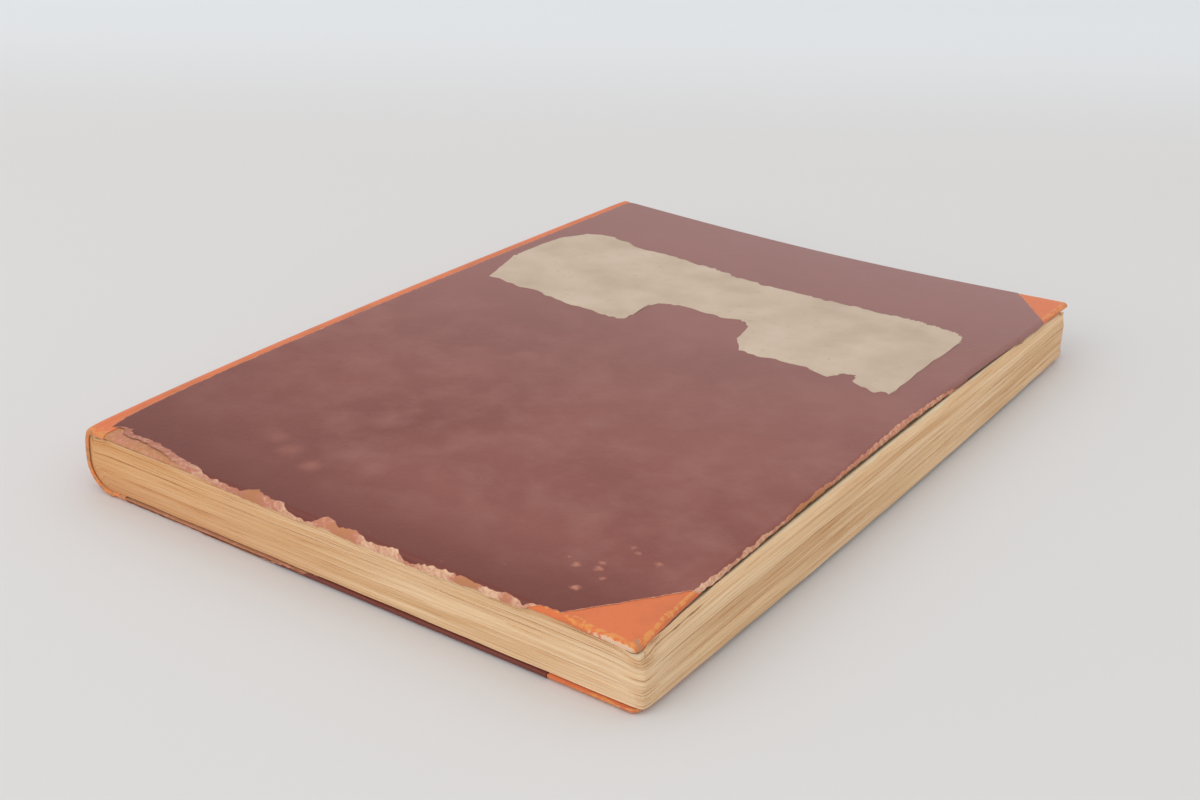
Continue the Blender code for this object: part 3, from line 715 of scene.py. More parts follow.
# How far the leaves stand back: slack, grooves, the bevel of the fore-edge and its topmost leaves
LEAF_LEVEL_SHARES = (0.0, 0.3, 0.7)
LEAF_SLACK = 0.10 * MM
SLACK_WAVES = (55 * MM, 21 * MM)
SLACK_SWING_SHARE = 0.4
LEAF_GROOVE = 0.07 * MM
GROOVE_SWING_SHARES = (0.7, 0.35)
GROOVE_SPREAD = 2.4
GATHERING_GROOVE = 0.16 * MM
GATHERING_SPREAD_SHARES = (0.4, 0.6)
GATHERING_FOLD = 0.5 * MM
FORE_BEVEL = 1.5 * MM
BEVEL_START_SHARE = 0.74
BEVEL_POWER = 1.5
TOP_STEPS = (0.25 * MM, 0.6 * MM, 1.1 * MM)
TOP_STEP_WAVES = (40 * MM, 13 * MM)
TOP_STEP_SHARES = (0.7, 0.3)

# Near corner of the block: slack, splay, wear and sag, each with how far it reaches
CORNER_SLACK = 0.9 * MM
CORNER_SLACK_REACH = 5 * MM
CORNER_SPLAY = 1.3 * MM
CORNER_SPLAY_REACH = 4 * MM
SPLAY_LEVEL_SHARES = (0.7, 0.25)
CORNER_WEAR = 0.5 * MM
CORNER_WEAR_REACH = 1.5 * MM
CORNER_SAG = 0.45 * MM
CORNER_SAG_REACH = 6 * MM
DEEPEST_SHARE = 0.8
DEEPENING_SHARE = 0.6

# Crack between two leaves of the fore-edge, the leaf under it counted from the top
CRACK_LEAF = 3
CRACK_DEPTH = 3.0 * MM
CRACK_START = 3.0 * MM
CRACK_RISE = 5 * MM
CRACK_END = 27.0 * MM
CRACK_FALL = 9 * MM
CRACK_TATTER = 3.4 * MM
CRACK_TATTER_SHARES = (0.7, 1.4)
CRACK_OPEN_SHARES = (0.3, 0.7)
CRACK_GAPE = 0.09 * MM
CRACK_GAPE_SWING = 0.07 * MM
CRACK_GAPE_TATTER = 2.3 * MM
CRACK_FADE_SHARE = 0.05
FLAP_SWING = 0.16 * MM
FLAP_TATTER = 2.1 * MM
FLAP_WAVE = 0.12 * MM
FLAP_LENGTH = 13 * MM
FLAP_LEVEL_SHARES = (0.8, 0.15)

# Slow waves of the whole block
BLOCK_WAVE = 0.14 * MM
BLOCK_WAVES = (110 * MM, 47 * MM, 26 * MM)
BLOCK_RIPPLE = 0.10 * MM
RIPPLE_LENGTH = 70 * MM
RIPPLE_TURNS = 1.5


def block_outline():
    """Columns round the text block: plan points, outward normals and share on the round back.

    From the tail's round back along the tail, round the near corner, up the fore-edge, round the
    far corner, along the head and down the back. The back share is 1 on the round back and falls to
    0 at the shoulder.
    """
    bow, n = sizes().fore_bow, BLOCK_COLUMNS
    fore_tail = FORE_EDGE - bow * (1 - math.sin(math.pi * BLOCK_TAIL / HEIGHT)) - CORNER_ROUND
    fore_head = FORE_EDGE - bow * (1 - math.sin(math.pi * BLOCK_HEAD / HEIGHT)) - CORNER_ROUND
    start = SHOULDER - COVER_START
    back = np.linspace(1, 0, n["shoulder"])[:-1]
    tail_x = start + (fore_tail - start) * (1 - (1 - np.linspace(0, 1, n["tail"])) ** CROWDING)
    turn = np.linspace(0, math.pi / 2, n["near"])[1:-1]
    fore_low, fore_high = BLOCK_TAIL + CORNER_ROUND, BLOCK_HEAD - CORNER_ROUND
    fore_y = fore_low + (fore_high - fore_low) * np.linspace(0, 1, n["fore"]) ** CROWDING
    far_turn = np.linspace(0, math.pi / 2, n["far"])[1:-1]
    head_x = np.linspace(fore_head, start, n["head"])
    back_y = np.linspace(BLOCK_HEAD, BLOCK_TAIL, n["back"])[1:-1]
    bowed = FORE_EDGE - bow * (1 - np.sin(math.pi * fore_y / HEIGHT))
    parts = [
        (0 * back + start, 0 * back + BLOCK_TAIL, 0 * back, 0 * back - 1, back),
        (tail_x, 0 * tail_x + BLOCK_TAIL, 0 * tail_x, 0 * tail_x - 1, 0 * tail_x),
        (fore_tail + CORNER_ROUND * np.sin(turn), fore_low - CORNER_ROUND * np.cos(turn),
         np.sin(turn), -np.cos(turn), 0 * turn),
        (bowed, fore_y, 0 * fore_y + 1, 0 * fore_y, 0 * fore_y),
        (fore_head + CORNER_ROUND * np.cos(far_turn), fore_high + CORNER_ROUND * np.sin(far_turn),
         np.cos(far_turn), np.sin(far_turn), 0 * far_turn),
        (head_x, 0 * head_x + BLOCK_HEAD, 0 * head_x, 0 * head_x + 1, 0 * head_x),
        (0 * back + start, 0 * back + BLOCK_HEAD, 0 * back, 0 * back + 1, back[::-1]),
        (0 * back_y + start, back_y, 0 * back_y, 0 * back_y, 0 * back_y + 1),
    ]
    return [np.concatenate(column) for column in zip(*parts)]


def leaf_height(x, y, level):
    """Height of a leaf at its level from 0 to 1; past the pastedowns the leaves spread to the covers."""
    free = np.maximum(smooth((x - PASTE_EDGE) / MARGIN_RUN), smooth((PASTE_MARGIN - y) / MARGIN_RUN))
    free = free * smooth(x / MARGIN_START)
    low = COVER_LIMIT - free * (COVER_LIMIT - EDGE_THICK - MARGIN_GAP)
    high = COVER_LIMIT + BLOCK + warp(x, y, BLOCK_HUMP_SHARE)
    near_cover = THICKNESS + warp(x, y) - EDGE_THICK - MARGIN_GAP
    high = high + free * (near_cover - high)
    curl = CORNER_CURL * smooth((x - COVER_WIDTH) / CURL_RUN) * bell(y, CURL_REACH)
    return low + level * (high - low) + curl * level ** CURL_POWER


def leaf_rows():
    """Rows of the block's wall: the leaf of each, its level from 0 to 1, and 1 where it is a groove.

    Each leaf has the groove under it and two rows on its own edge; one more row ends the topmost.
    """
    count = sizes().gatherings * sizes().leaves
    leaf = np.repeat(np.arange(count), len(LEAF_LEVEL_SHARES))
    level = (leaf + np.tile(LEAF_LEVEL_SHARES, count)) / count
    groove = np.tile(np.equal(LEAF_LEVEL_SHARES, 0), count)
    return np.append(leaf, count - 1), np.append(level, 1.0)[:, None], np.append(groove, 0.0)[:, None]


def leaf_inset(leaf, t, groove, between, run, near, fore):
    """How far the leaves' edges stand back from the block's outline, by row and column.

    Each leaf has a random slack that wanders along its run, and more of it by the near corner.
    Between the leaves run grooves, deeper ones between the gatherings. The fore-edge is bevelled
    towards its top, and its last leaves step back. At the near corner the upper leaves splay out.
    """
    count = leaf[-1] + 1
    random = np.random.default_rng(5)
    slack = np.abs(random.normal(0, 1, count)) * LEAF_SLACK
    phases = random.uniform(0, 1, (2, count))
    slow = sum(np.sin(2 * math.pi * (run / w + p[:, None])) for w, p in zip(SLACK_WAVES, phases))
    corner_slack = random.uniform(0, 1, count) ** 2 * CORNER_SLACK
    deep = random.uniform(0, 1, count)[leaf, None] ** 3 * GROOVE_SPREAD
    least, spread = GATHERING_SPREAD_SHARES
    parting = least + spread * random.uniform(0, 1, count)[leaf, None]
    inset = (slack[:, None] * (1 + SLACK_SWING_SHARE * slow))[leaf]
    inset += corner_slack[leaf, None] * bell(near, CORNER_SLACK_REACH)
    steady, swing = GROOVE_SWING_SHARES
    inset += groove * deep * LEAF_GROOVE * (steady + swing * slow[leaf])
    inset += between * parting * GATHERING_GROOVE
    splay_start, splay_range = SPLAY_LEVEL_SHARES
    inset -= smooth((t - splay_start) / splay_range) * CORNER_SPLAY * bell(near, CORNER_SPLAY_REACH)
    bevel = np.clip((t - BEVEL_START_SHARE) / (1 - BEVEL_START_SHARE), 0, 1) ** BEVEL_POWER
    inset += FORE_BEVEL * bevel * fore
    inset += CORNER_WEAR * bell(near, CORNER_WEAR_REACH)
    steady, swing = TOP_STEP_SHARES
    for above, amount in enumerate(TOP_STEPS):
        chosen = (leaf == count - len(TOP_STEPS) + above)[:, None]
        inset += chosen * fore * amount * (steady + swing * wander(run, TOP_STEP_WAVES, above))
    return inset


def leaf_lift(t, split, crack, y0, run, near):
    """How far the leaves' edges rise from their level, by row and column.

    The block waves slowly, most at its middle leaves, and sags there at the near corner. The crack
    lifts what lies over it, presses down the few leaves under it, and curls the topmost ones.
    """
    middle = np.sin(math.pi * t)
    wave = BLOCK_WAVE * wander(run, BLOCK_WAVES, 8) * middle
    wave = wave + BLOCK_RIPPLE * np.sin(2 * math.pi * (run / RIPPLE_LENGTH + RIPPLE_TURNS * t)) * middle
    sag = CORNER_SAG * middle * bell(near, CORNER_SAG_REACH)
    gape = CRACK_GAPE + CRACK_GAPE_SWING * ragged(run, CRACK_GAPE_TATTER, 31)
    under = np.exp(-(split - t).clip(0) / CRACK_FADE_SHARE)
    opened = np.where(t > split, gape, -gape * under)
    flaps = FLAP_SWING * ragged(run, FLAP_TATTER, 33) + FLAP_WAVE * np.sin(2 * math.pi * y0 / FLAP_LENGTH)
    flap_start, flap_range = FLAP_LEVEL_SHARES
    curl = flaps * smooth((t - flap_start) / flap_range)
    return wave - sag + (opened + curl) * crack


def leaf_loops():
    """Loops of the text block from the middle of its lower face, up its edges, to its upper face.

    Each point of the outline moves inwards by the leaf's inset and up to the leaf's height. One
    crack opens between two leaves of the fore-edge. The lower half leans to the back cover's joint,
    and the round back is half an oval inside the layers of the spine.
    """
    x0, y0, nx, ny, back = block_outline()
    step = np.hypot(np.diff(x0, append=x0[0]), np.diff(y0, append=y0[0]))
    run = np.cumsum(step) - step
    leaf, t, groove = leaf_rows()
    between = groove * (leaf % sizes().leaves == 0)[:, None]
    corner_x = x0[(nx > FACING_FORE).argmax()]
    near = np.hypot(x0 - corner_x, y0 - BLOCK_TAIL)
    fore = smooth(nx)
    crack = smooth((y0 - CRACK_START) / CRACK_RISE) * smooth((CRACK_END - y0) / CRACK_FALL) * fore
    middling, swing = CRACK_TATTER_SHARES
    least, more = CRACK_OPEN_SHARES
    crack = crack * (least + more * smooth(middling + swing * ragged(run, CRACK_TATTER, 35)))
    split = leaf[-1] + 1 - CRACK_LEAF
    inset = leaf_inset(leaf, t, groove, between, run, near, fore)
    inset += groove * (leaf == split)[:, None] * CRACK_DEPTH * crack
    inset = np.minimum(inset, DEEPEST_SHARE * CORNER_ROUND + DEEPENING_SHARE * near) * (1 - back)
    start = SHOULDER - COVER_START
    lean = BACK_SHIFT * np.clip(1 - 2 * t, 0, 1)
    x = x0 + lean * np.clip(1 - (x0 - start) / (corner_x - start), 0, 1) - nx * inset
    y = y0 - ny * inset
    z = leaf_height(x, y, t) + leaf_lift(t, split / (leaf[-1] + 1), crack, y0, run, near)
    fold = GATHERING_FOLD * between * (t > 0) * (t < 1)
    oval = round_back(math.pi * (t - 0.5) + 0 * y, y, SPINE_LAYERS + fold)
    x = x + (oval[..., 0] - x) * back
    z = z + (oval[..., 2] - z) * smooth(back)
    wall = np.stack([x, y, z], -1)
    lay = np.stack([run + 0 * x, BLOCK * t + 0 * x, 0 * x], -1)
    middle = np.array([FORE_EDGE / 2, HEIGHT / 2])
    faces, lays = [], []
    for row, level in ((0, 0.0), (-1, 1.0)):
        shoulder = start + BACK_SHIFT * (1 - level)
        edge = np.stack([np.maximum(wall[row, :, 0], shoulder), wall[row, :, 1]], -1)
        plan = spokes(middle, edge, BLOCK_FACE_SHARES)
        height = leaf_height(plan[..., 0], plan[..., 1], level)
        faces.append(np.concatenate([plan, height[..., None]], -1))
        lays.append(np.broadcast_to(lay[row], faces[-1].shape))
    all_loops = np.concatenate([faces[0], wall, faces[1][::-1]])
    all_lay = np.concatenate([lays[0], lay, lays[1][::-1]])
    face_rows = [1] * len(BLOCK_FACE_SHARES)
    return all_loops, all_lay, face_rows + [0] * (len(t) - 1) + face_rows


# Cover pieces

COVER_MIDDLE = np.array([COVER_WIDTH / 2, HEIGHT / 2])

# Columns round a board along each stretch of it, and the bare board's roughness and clearance
BOARD_COLUMNS = {"tail": 260, "corner": 12, "fore": 280, "head": 90, "joint": 60}
BOARD_FACE_SHARES = (0.05, 0.2, 0.35, 0.5, 0.64, 0.77, 0.87, 0.93, 0.965, 0.985)
BOARD_THIN_SHARES = (0.005, 0.02)
BOARD_CLEAR = 0.03 * MM
BOARD_ROUGH = 0.05 * MM
BOARD_GRAIN = 1.5 * MM
BOARD_PITCH = 0.7 * MM
BOARD_ARC_ROWS = 9


def board_outline(side, inset, corner):
    """Columns round a board: points of its plan at an inset, outward normals, and 1 where it is rounded.

    Tail, near corner, fore-edge, far corner, head, then back along the joint edge, which is cut
    square.
    """
    right, low, high = COVER_WIDTH - inset, inset, HEIGHT - inset
    n = BOARD_COLUMNS
    turn = np.linspace(0, math.pi / 2, n["corner"])
    start = cover_start(side)
    tail_x = np.linspace(start, right - corner, n["tail"])[:-1]
    fore_y = np.linspace(low + corner, high - corner, n["fore"])[1:-1]
    head_x = np.linspace(right - corner, start, n["head"])[1:]
    left_y = np.linspace(high, low, n["joint"])[1:-1]
    parts = [
        (tail_x, 0 * tail_x + low, 0 * tail_x, 0 * tail_x - 1, 0 * tail_x + 1),
        (right - corner + corner * np.sin(turn), low + corner - corner * np.cos(turn),
         np.sin(turn), -np.cos(turn), 0 * turn + 1),
        (0 * fore_y + right, fore_y, 0 * fore_y + 1, 0 * fore_y, 0 * fore_y + 1),
        (right - corner + corner * np.cos(turn), high - corner + corner * np.sin(turn),
         np.cos(turn), np.sin(turn), 0 * turn + 1),
        (head_x, 0 * head_x + high, 0 * head_x, 0 * head_x + 1, 0 * head_x + 1),
        (0 * left_y + start, left_y, 0 * left_y, 0 * left_y, 0 * left_y),
    ]
    return [np.concatenate(column) for column in zip(*parts)]


def board_loops(side):
    """Loops of a bare board from the middle of its outer face, over its rounded edge, to its inner face.

    The edge is a quarter arc, rough along its run, and a foot straight down. The inner face drops
    from the thinned edge to the board's full thickness.
    """
    s = sizes()
    x, y, nx, ny, outer = board_outline(side, s.edge_round, s.corner_radius - s.edge_round)
    top = BOARD_TOP - BOARD_CLEAR
    thinned = EDGE_THICK - CLOTH_DEPTH - CLOTH_THICK
    radius = s.edge_round - top
    turn = np.linspace(0, math.pi / 2, BOARD_ARC_ROWS)[:, None]
    rough = BOARD_ROUGH * ragged(np.arange(len(x)) * BOARD_PITCH, BOARD_GRAIN, 3)
    reach = (radius + rough) * np.sin(turn) * outer
    arc = np.stack([x + nx * reach, y + ny * reach, top + radius * (1 - np.cos(turn)) + 0 * reach], -1)
    foot = arc[-1:].copy()
    foot[..., 2] = thinned
    plan = spokes(COVER_MIDDLE, np.stack([x, y], -1), BOARD_FACE_SHARES)
    face = np.concatenate([plan, 0 * plan[..., :1] + top], -1)
    thin_start, thin_range = BOARD_THIN_SHARES
    thickening = smooth((1 - np.array(BOARD_FACE_SHARES) - thin_start) / thin_range)
    inner = thinned + (COVER_INNER - thinned) * thickening
    under = np.concatenate([plan, 0 * plan[..., :1] + inner[:, None, None]], -1)
    return on_cover(side, np.concatenate([face, arc, foot, under[::-1]]))


# Torn lines of the side papers: share of the side, then, in units of TEAR_RUN past the start of the
# rounded edge, where the maroon ends and where the torn fibres end, and the tone of the fibres
TEAR_RUN = 3.0 * MM
TAIL_TEAR = (
    (0.000, -1.67, -1.30, 0.6), (0.017, -1.67, -1.20, 0.6), (0.043, -1.10, -0.70, 0.5),
    (0.077, -1.15, -0.70, 0.45), (0.106, -1.15, -0.60, 0.5), (0.144, -1.00, -0.40, 0.55),
    (0.195, -0.45, 0.20, 0.4), (0.242, -0.20, 0.45, 0.35), (0.283, 0.33, 0.80, 0.3),
    (0.316, 0.30, 0.85, 0.4), (0.359, 0.42, 0.90, 0.7), (0.375, -0.10, 0.90, 0.95),
    (0.385, -0.45, 0.90, 1.0), (0.400, -0.15, 0.90, 0.8), (0.417, 0.08, 0.90, 0.5),
    (0.449, -0.08, 0.95, 0.35), (0.475, 0.67, 1.00, 0.2), (0.508, 0.75, 1.00, 0.3),
    (0.530, 0.38, 0.95, 0.5), (0.537, -0.32, 0.75, 0.55), (0.554, -0.28, 0.85, 0.6),
    (0.575, 0.28, 0.95, 0.85), (0.604, -0.17, 0.95, 0.75), (0.630, 0.30, 0.95, 0.15),
    (0.658, 0.43, 1.00, 0.3), (0.695, 0.07, 1.00, 0.2), (0.711, 0.87, 1.10, 0.5),
    (0.722, 0.83, 1.10, 0.6), (0.739, 0.58, 1.05, 0.35), (0.771, 0.30, 1.00, 0.15),
    (0.800, 0.26, 0.95, 0.25), (0.815, 0.28, 0.90, 0.9), (0.850, 0.32, 0.80, 0.95),
    (0.862, 0.34, 0.95, 0.1), (0.888, 0.37, 0.95, 0.05), (0.903, 0.10, 0.95, 0.8),
    (0.923, 0.28, 1.00, 0.25), (0.937, 0.62, 0.95, 0.4), (0.950, 0.35, 0.42, 0.4),
    (0.976, 0.00, 0.06, 0.4), (1.000, -0.05, 0.00, 0.3),
)
FORE_TEAR = (
    (0.00, 0.05, 0.40, 0.2), (0.03, 0.16, 0.65, 0.2), (0.08, 0.28, 0.72, 0.35), (0.14, 0.32, 0.72, 0.3),
    (0.19, 0.45, 0.72, 0.5), (0.23, 0.30, 0.72, 0.9), (0.28, 0.30, 0.72, 0.95), (0.32, 0.38, 0.72, 0.5),
    (0.38, 0.30, 0.72, 0.55), (0.46, 0.15, 0.70, 0.4), (0.54, 0.12, 0.66, 0.5), (0.60, 0.20, 0.70, 0.4),
    (0.66, 0.45, 0.80, 0.4), (0.72, 1.10, 1.18, 0.5), (0.78, 2.20, 2.20, 0.5), (1.00, 2.20, 2.20, 0.5),
)
BACK_TAIL_TEAR = (
    (0.00, 0.05, 0.12, 0.7), (0.10, 0.12, 0.25, 0.8), (0.20, 0.08, 0.20, 0.7), (0.31, 0.16, 0.40, 0.8),
    (0.40, 0.30, 0.50, 0.8), (0.44, 0.70, 0.80, 0.7), (0.47, 0.45, 0.60, 0.8), (0.51, 1.00, 1.05, 0.6),
    (0.56, 2.20, 2.20, 0.5), (1.00, 2.20, 2.20, 0.5),
)

# Cloth corners: how far each reaches along the tail or head, then along the fore-edge
CORNER_PIECES = {
    ("front", "tail"): (19.8 * MM, 23.8 * MM),
    ("front", "head"): (16.3 * MM, 21.3 * MM),
    ("back", "tail"): (22.4 * MM, 28.3 * MM),
    ("back", "head"): (16.3 * MM, 21.3 * MM),
}

# Columns along a side paper's six sides: tail, near slant, fore-edge, far slant, head and joint. The
# first, third and fifth go over the board's edge. The rows run outwards from the flat face, in mm
# past the start of the rounding, and the last of them lie a small gap apart where the paper ends
PAPER_COLUMNS = (480, 70, 400, 50, 110, 200)
PAPER_RUNS = (
    -7.0, -4.8, -3.2, -2.0, -1.2, -0.6, -0.2, 0.1, 0.35, 0.6, 0.85, 1.1, 1.35, 1.6, 1.85, 2.0, 2.15,
    2.3, 2.5, 2.9, 3.6, 4.8, 6.6,
)
PAPER_ROW_GAP = 0.025 * MM
PAPER_UNDER_STEP = 3
PAPER_FACE_SHARES = (0.05, 0.2, 0.35, 0.5, 0.63, 0.75, 0.85, 0.93)
FULL_RUN_SHARE = 2.2
HANGING_SHARE = 1.2
JOINT_TAPER = 2.4 * MM
JOINT_TAPER_REACH = 10 * MM

# Torn lines: shares, spacings and seeds of their coarse and fine waver, and the rim's waver and width
TEAR_TATTERS = ((0.3, 2.6 * MM, 20), (0.45, 0.8 * MM, 40))
TEAR_WAVER = 0.7 * MM
TEAR_EASE = 2 * MM
RIM_WAVER = 0.3 * MM
RIM_SPACING = 1.3 * MM
RIM_LEAST = 0.05 * MM
WRAPPED_RIM = 0.02 * MM
SLANT_WAVER = 0.3 * MM
SLANT_RIM = 0.2 * MM
SLANT_RIM_WAVER = 0.12 * MM
SLANT_RIM_SPACING = 2 * MM
RIM_ROW_SHARES = (0.06, 0.35, 0.7, 1.0)
RIM_THIN_SHARES = (0.75, 0.6, 0.5, 0.25)


def paper_corners(side):
    """Corners of a side paper's base line, which runs where the rounding of the board's edge starts.

    Tail at the joint, tail at the slant, fore-edge at the slant, fore-edge at the far slant, head at
    the far slant, head at the joint.
    """
    s = sizes()
    r = s.edge_round
    near_leg, near_rise = CORNER_PIECES[side, "tail"]
    far_leg, far_rise = CORNER_PIECES[side, "head"]
    left, right = cover_start(side) + s.joint_strip, COVER_WIDTH
    return np.array([
        (left, r), (right - near_leg, r), (right - r, near_rise), (right - r, HEIGHT - far_rise),
        (right - far_leg, HEIGHT - r), (left, HEIGHT - r),
    ])


def paper_columns(side):
    """Columns round a side paper: base, mitred inward step, normal, wrap flag, end run, rim and tone."""
    corners = paper_corners(side)
    along = np.roll(corners, -1, 0) - corners
    length = np.hypot(*along.T)
    normals = np.stack([along[:, 1], -along[:, 0]], -1) / length[:, None]
    before = np.roll(normals, 1, 0)
    mitre = -(normals + before) / (1 + (normals * before).sum(1))[:, None]
    after = np.roll(mitre, -1, 0)
    columns = {key: [] for key in ("base", "step", "normal", "wrap", "end", "rim", "tone")}
    for k, count in enumerate(PAPER_COLUMNS):
        share = np.arange(count) / count
        end, rim, tone = side_reach(side, k, share, share * length[k])
        columns["base"].append(corners[k] + along[k] * share[:, None])
        columns["step"].append(mitre[k] + (after[k] - mitre[k]) * share[:, None])
        columns["normal"].append(np.broadcast_to(normals[k], (count, 2)))
        columns["wrap"].append(np.full(count, k % 2 == 0))
        columns["end"].append(end)
        columns["rim"].append(rim)
        columns["tone"].append(tone)
    return {key: np.concatenate(value) for key, value in columns.items()}


def side_reach(side, k, share, run):
    """End run of the maroon along one side, the width of the torn rim past it, and the rim's tone.

    A torn side follows its table, shaken where it is worn. A sound one goes all the way over the
    edge, and a slant or the joint side ends at its base line, a little ragged. The front paper's
    joint side is drawn in towards the tail.
    """
    jagged = tattered(run, TEAR_TATTERS, k)
    full = FULL_RUN_SHARE * TEAR_RUN
    tears = {("front", 0): TAIL_TEAR, ("front", 2): FORE_TEAR, ("back", 0): BACK_TAIL_TEAR}
    if (side, k) in tears:
        at, *values = np.array(tears[side, k]).T
        end_share, rim_share, tone = (np.interp(share, at, value) for value in values)
        end = TEAR_RUN * end_share
        worn = smooth((full - end) / TEAR_EASE)
        end = end + TEAR_WAVER * jagged * worn
        rim = TEAR_RUN * rim_share + RIM_WAVER * ragged(run, RIM_SPACING, 60 + k) * worn - end
        return end, np.clip(rim, RIM_LEAST, None), tone
    if k % 2 == 0:
        return 0 * share + full, 0 * share + WRAPPED_RIM, 0 * share + 0.5
    rim = SLANT_RIM + SLANT_RIM_WAVER * ragged(run, SLANT_RIM_SPACING, 80 + k)
    to_tail = (1 - share) * HEIGHT
    drawn_in = JOINT_TAPER * np.exp(-to_tail / JOINT_TAPER_REACH) if (side, k) == ("front", 5) else 0
    return SLANT_WAVER * jagged - drawn_in, rim, 0 * share + 0.4


def paper_loops(side):
    """Loops of a side paper from the middle of its outer face to its torn rim and back underneath.

    A point's run is its distance past the start of the rounded edge; it steps inward on the mitred
    base line where that is negative, and follows the edge profile where it is positive.
    """
    c = paper_columns(side)
    rows = np.array(PAPER_RUNS) * MM
    gaps = PAPER_ROW_GAP * np.arange(len(rows))[::-1]
    runs = np.minimum(rows[:, None], c["end"] - gaps[:, None])
    runs = np.concatenate([runs, c["end"] + c["rim"] * np.array(RIM_ROW_SHARES)[:, None]])
    over = np.clip(runs, 0, None)
    hangs = (c["end"] < HANGING_SHARE * TEAR_RUN) & (side == "front")
    profiles = zip(edge_profile(over, False), edge_profile(over, True))
    reach, drop, out, up = (np.where(hangs, hanging, turned) for hanging, turned in profiles)
    wrap = c["wrap"]
    reach = np.where(wrap, reach, over)
    drop, out, up = drop * wrap, out * wrap, np.where(wrap, up, 1.0)
    inward = np.clip(-runs, 0, None)[..., None] * c["step"]
    plan = c["base"] + inward + c["normal"] * reach[..., None]
    lower_plan = plan - c["normal"] * (PAPER_THICK * out)[..., None]
    thin = np.append(np.ones(len(rows)), RIM_THIN_SHARES)
    outer = np.concatenate([plan, drop[..., None]], -1)
    lower = np.concatenate([lower_plan, (drop + PAPER_THICK * up)[..., None]], -1)
    lower = outer + (lower - outer) * thin[:, None, None]
    spoke = spokes(COVER_MIDDLE, plan[0], PAPER_FACE_SHARES)
    face = np.concatenate([spoke, 0 * spoke[..., :1]], -1)
    lower_spoke = spoke[::PAPER_UNDER_STEP]
    under = np.concatenate([lower_spoke, 0 * lower_spoke[..., :1] + PAPER_THICK], -1)
    loops = np.concatenate([face, outer, lower[::-1][1:], under[::-1]])
    bare = np.zeros(loops.shape[:2])
    bare[len(face) + len(PAPER_RUNS):] = 1.0
    tone = np.broadcast_to(c["tone"], bare.shape)
    return on_cover(side, loops), {"bare": bare, "tone": tone}


# Wear of a cloth corner, by the share of the way round it: how far in from the rounded edge the
# threads are bare and how far over it, both in mm, then the shares of chalk and of bare board
NEAR_WEAR = (
    (0.00, 0.1, 0.4, 0.0, 0.0), (0.17, 0.1, 0.5, 0.0, 0.0), (0.21, 1.6, 1.5, 0.0, 0.0),
    (0.26, 3.2, 1.9, 0.2, 0.0), (0.30, 0.7, 1.0, 0.6, 0.0), (0.35, 0.9, 1.2, 0.95, 0.0),
    (0.39, 2.0, 1.4, 0.9, 0.0), (0.44, 0.8, 1.6, 1.0, 0.0), (0.48, 0.8, 2.2, 0.6, 0.2),
    (0.52, 1.2, 2.2, 0.1, 1.0), (0.55, 1.2, 2.4, 0.0, 0.8), (0.60, 0.7, 1.6, 0.2, 0.1),
    (0.68, 0.2, 1.2, 0.4, 0.0), (0.77, 0.9, 1.3, 0.4, 0.0), (0.88, 0.3, 1.2, 0.3, 0.0),
    (1.00, 0.2, 1.0, 0.2, 0.0),
)
OTHER_WEAR = (
    (0.00, 0.2, 0.8, 0.1, 0.0), (0.15, 0.8, 1.6, 0.2, 0.1), (0.30, 0.5, 3.0, 0.0, 0.1),
    (0.40, 1.2, 1.6, 0.3, 0.0), (0.47, 1.6, 3.2, 0.5, 0.3), (0.55, 1.4, 2.4, 0.3, 0.5),
    (0.70, 0.5, 1.6, 0.2, 0.0), (0.85, 0.7, 1.2, 0.1, 0.0), (1.00, 0.2, 1.0, 0.0, 0.0),
)

# Cloth corners: what lies under the side paper, the near corner's tongue along the torn tail, the
# columns, the frayed edge, and how softly the wear ends
CLOTH_OVERLAP = 3.5 * MM
TONGUE = 9.0 * MM
TONGUE_BEND_SHARE = 0.3
PLAIN_BEND_SHARE = 0.02
OVERLAP_SHARES = (0.5, 0.6)
CLOTH_FOOT = 1.5 * MM
CLOTH_FLAT_SHARES = (0, 0.15, 0.3, 0.45, 0.58, 0.68, 0.76, 0.82, 0.87, 0.91, 0.95, 0.98)
CLOTH_UNDER_RUNS = (2.1 * MM, 7.2 * MM)
CLOTH_COLUMNS = {"side": 90, "corner": 24, "arc": 10, "under": 12}
FRAY = 0.06 * MM
FRAY_SPACING = 0.8 * MM
FRAY_PITCH = 0.4 * MM
WORN_SHARE = 0.72
WORN_EASE = 0.9 * MM
CHALK_START = 0.5 * MM
CHALK_RISE = 0.8 * MM
CHALK_END = 3.2 * MM
CHALK_FALL = 1.0 * MM

# Spine cloth: sections along it, columns across it, and its thickening towards the rolled ends
SPINE_ROWS = 240
SPINE_EDGE_ROWS = 12
SPINE_EDGE_RUN = 1.0 * MM
STRIP_COLUMNS = 16
OVAL_COLUMNS = 46
JOINT_COLUMNS = 9
ROLL_SHARE = 1.6
ROLL_REACH = 6 * MM
END_WEAR_REACH = 5 * MM
END_WORN_SHARE = 0.85
END_BARE_SHARE = 0.62

# Rolled end of the spine cloth: its rounding, its face down to the leaves, its slant and its back
LIP_ROUND = 0.5 * MM
LIP_FACE = 1.0 * MM
LIP_SLANT = 0.12 * MM
LIP_BACK = 0.48 * MM
LIP_FOOT = 0.8 * MM
LIP_TURN_SHARE = 0.6
LIP_BACK_SHARE = 0.7


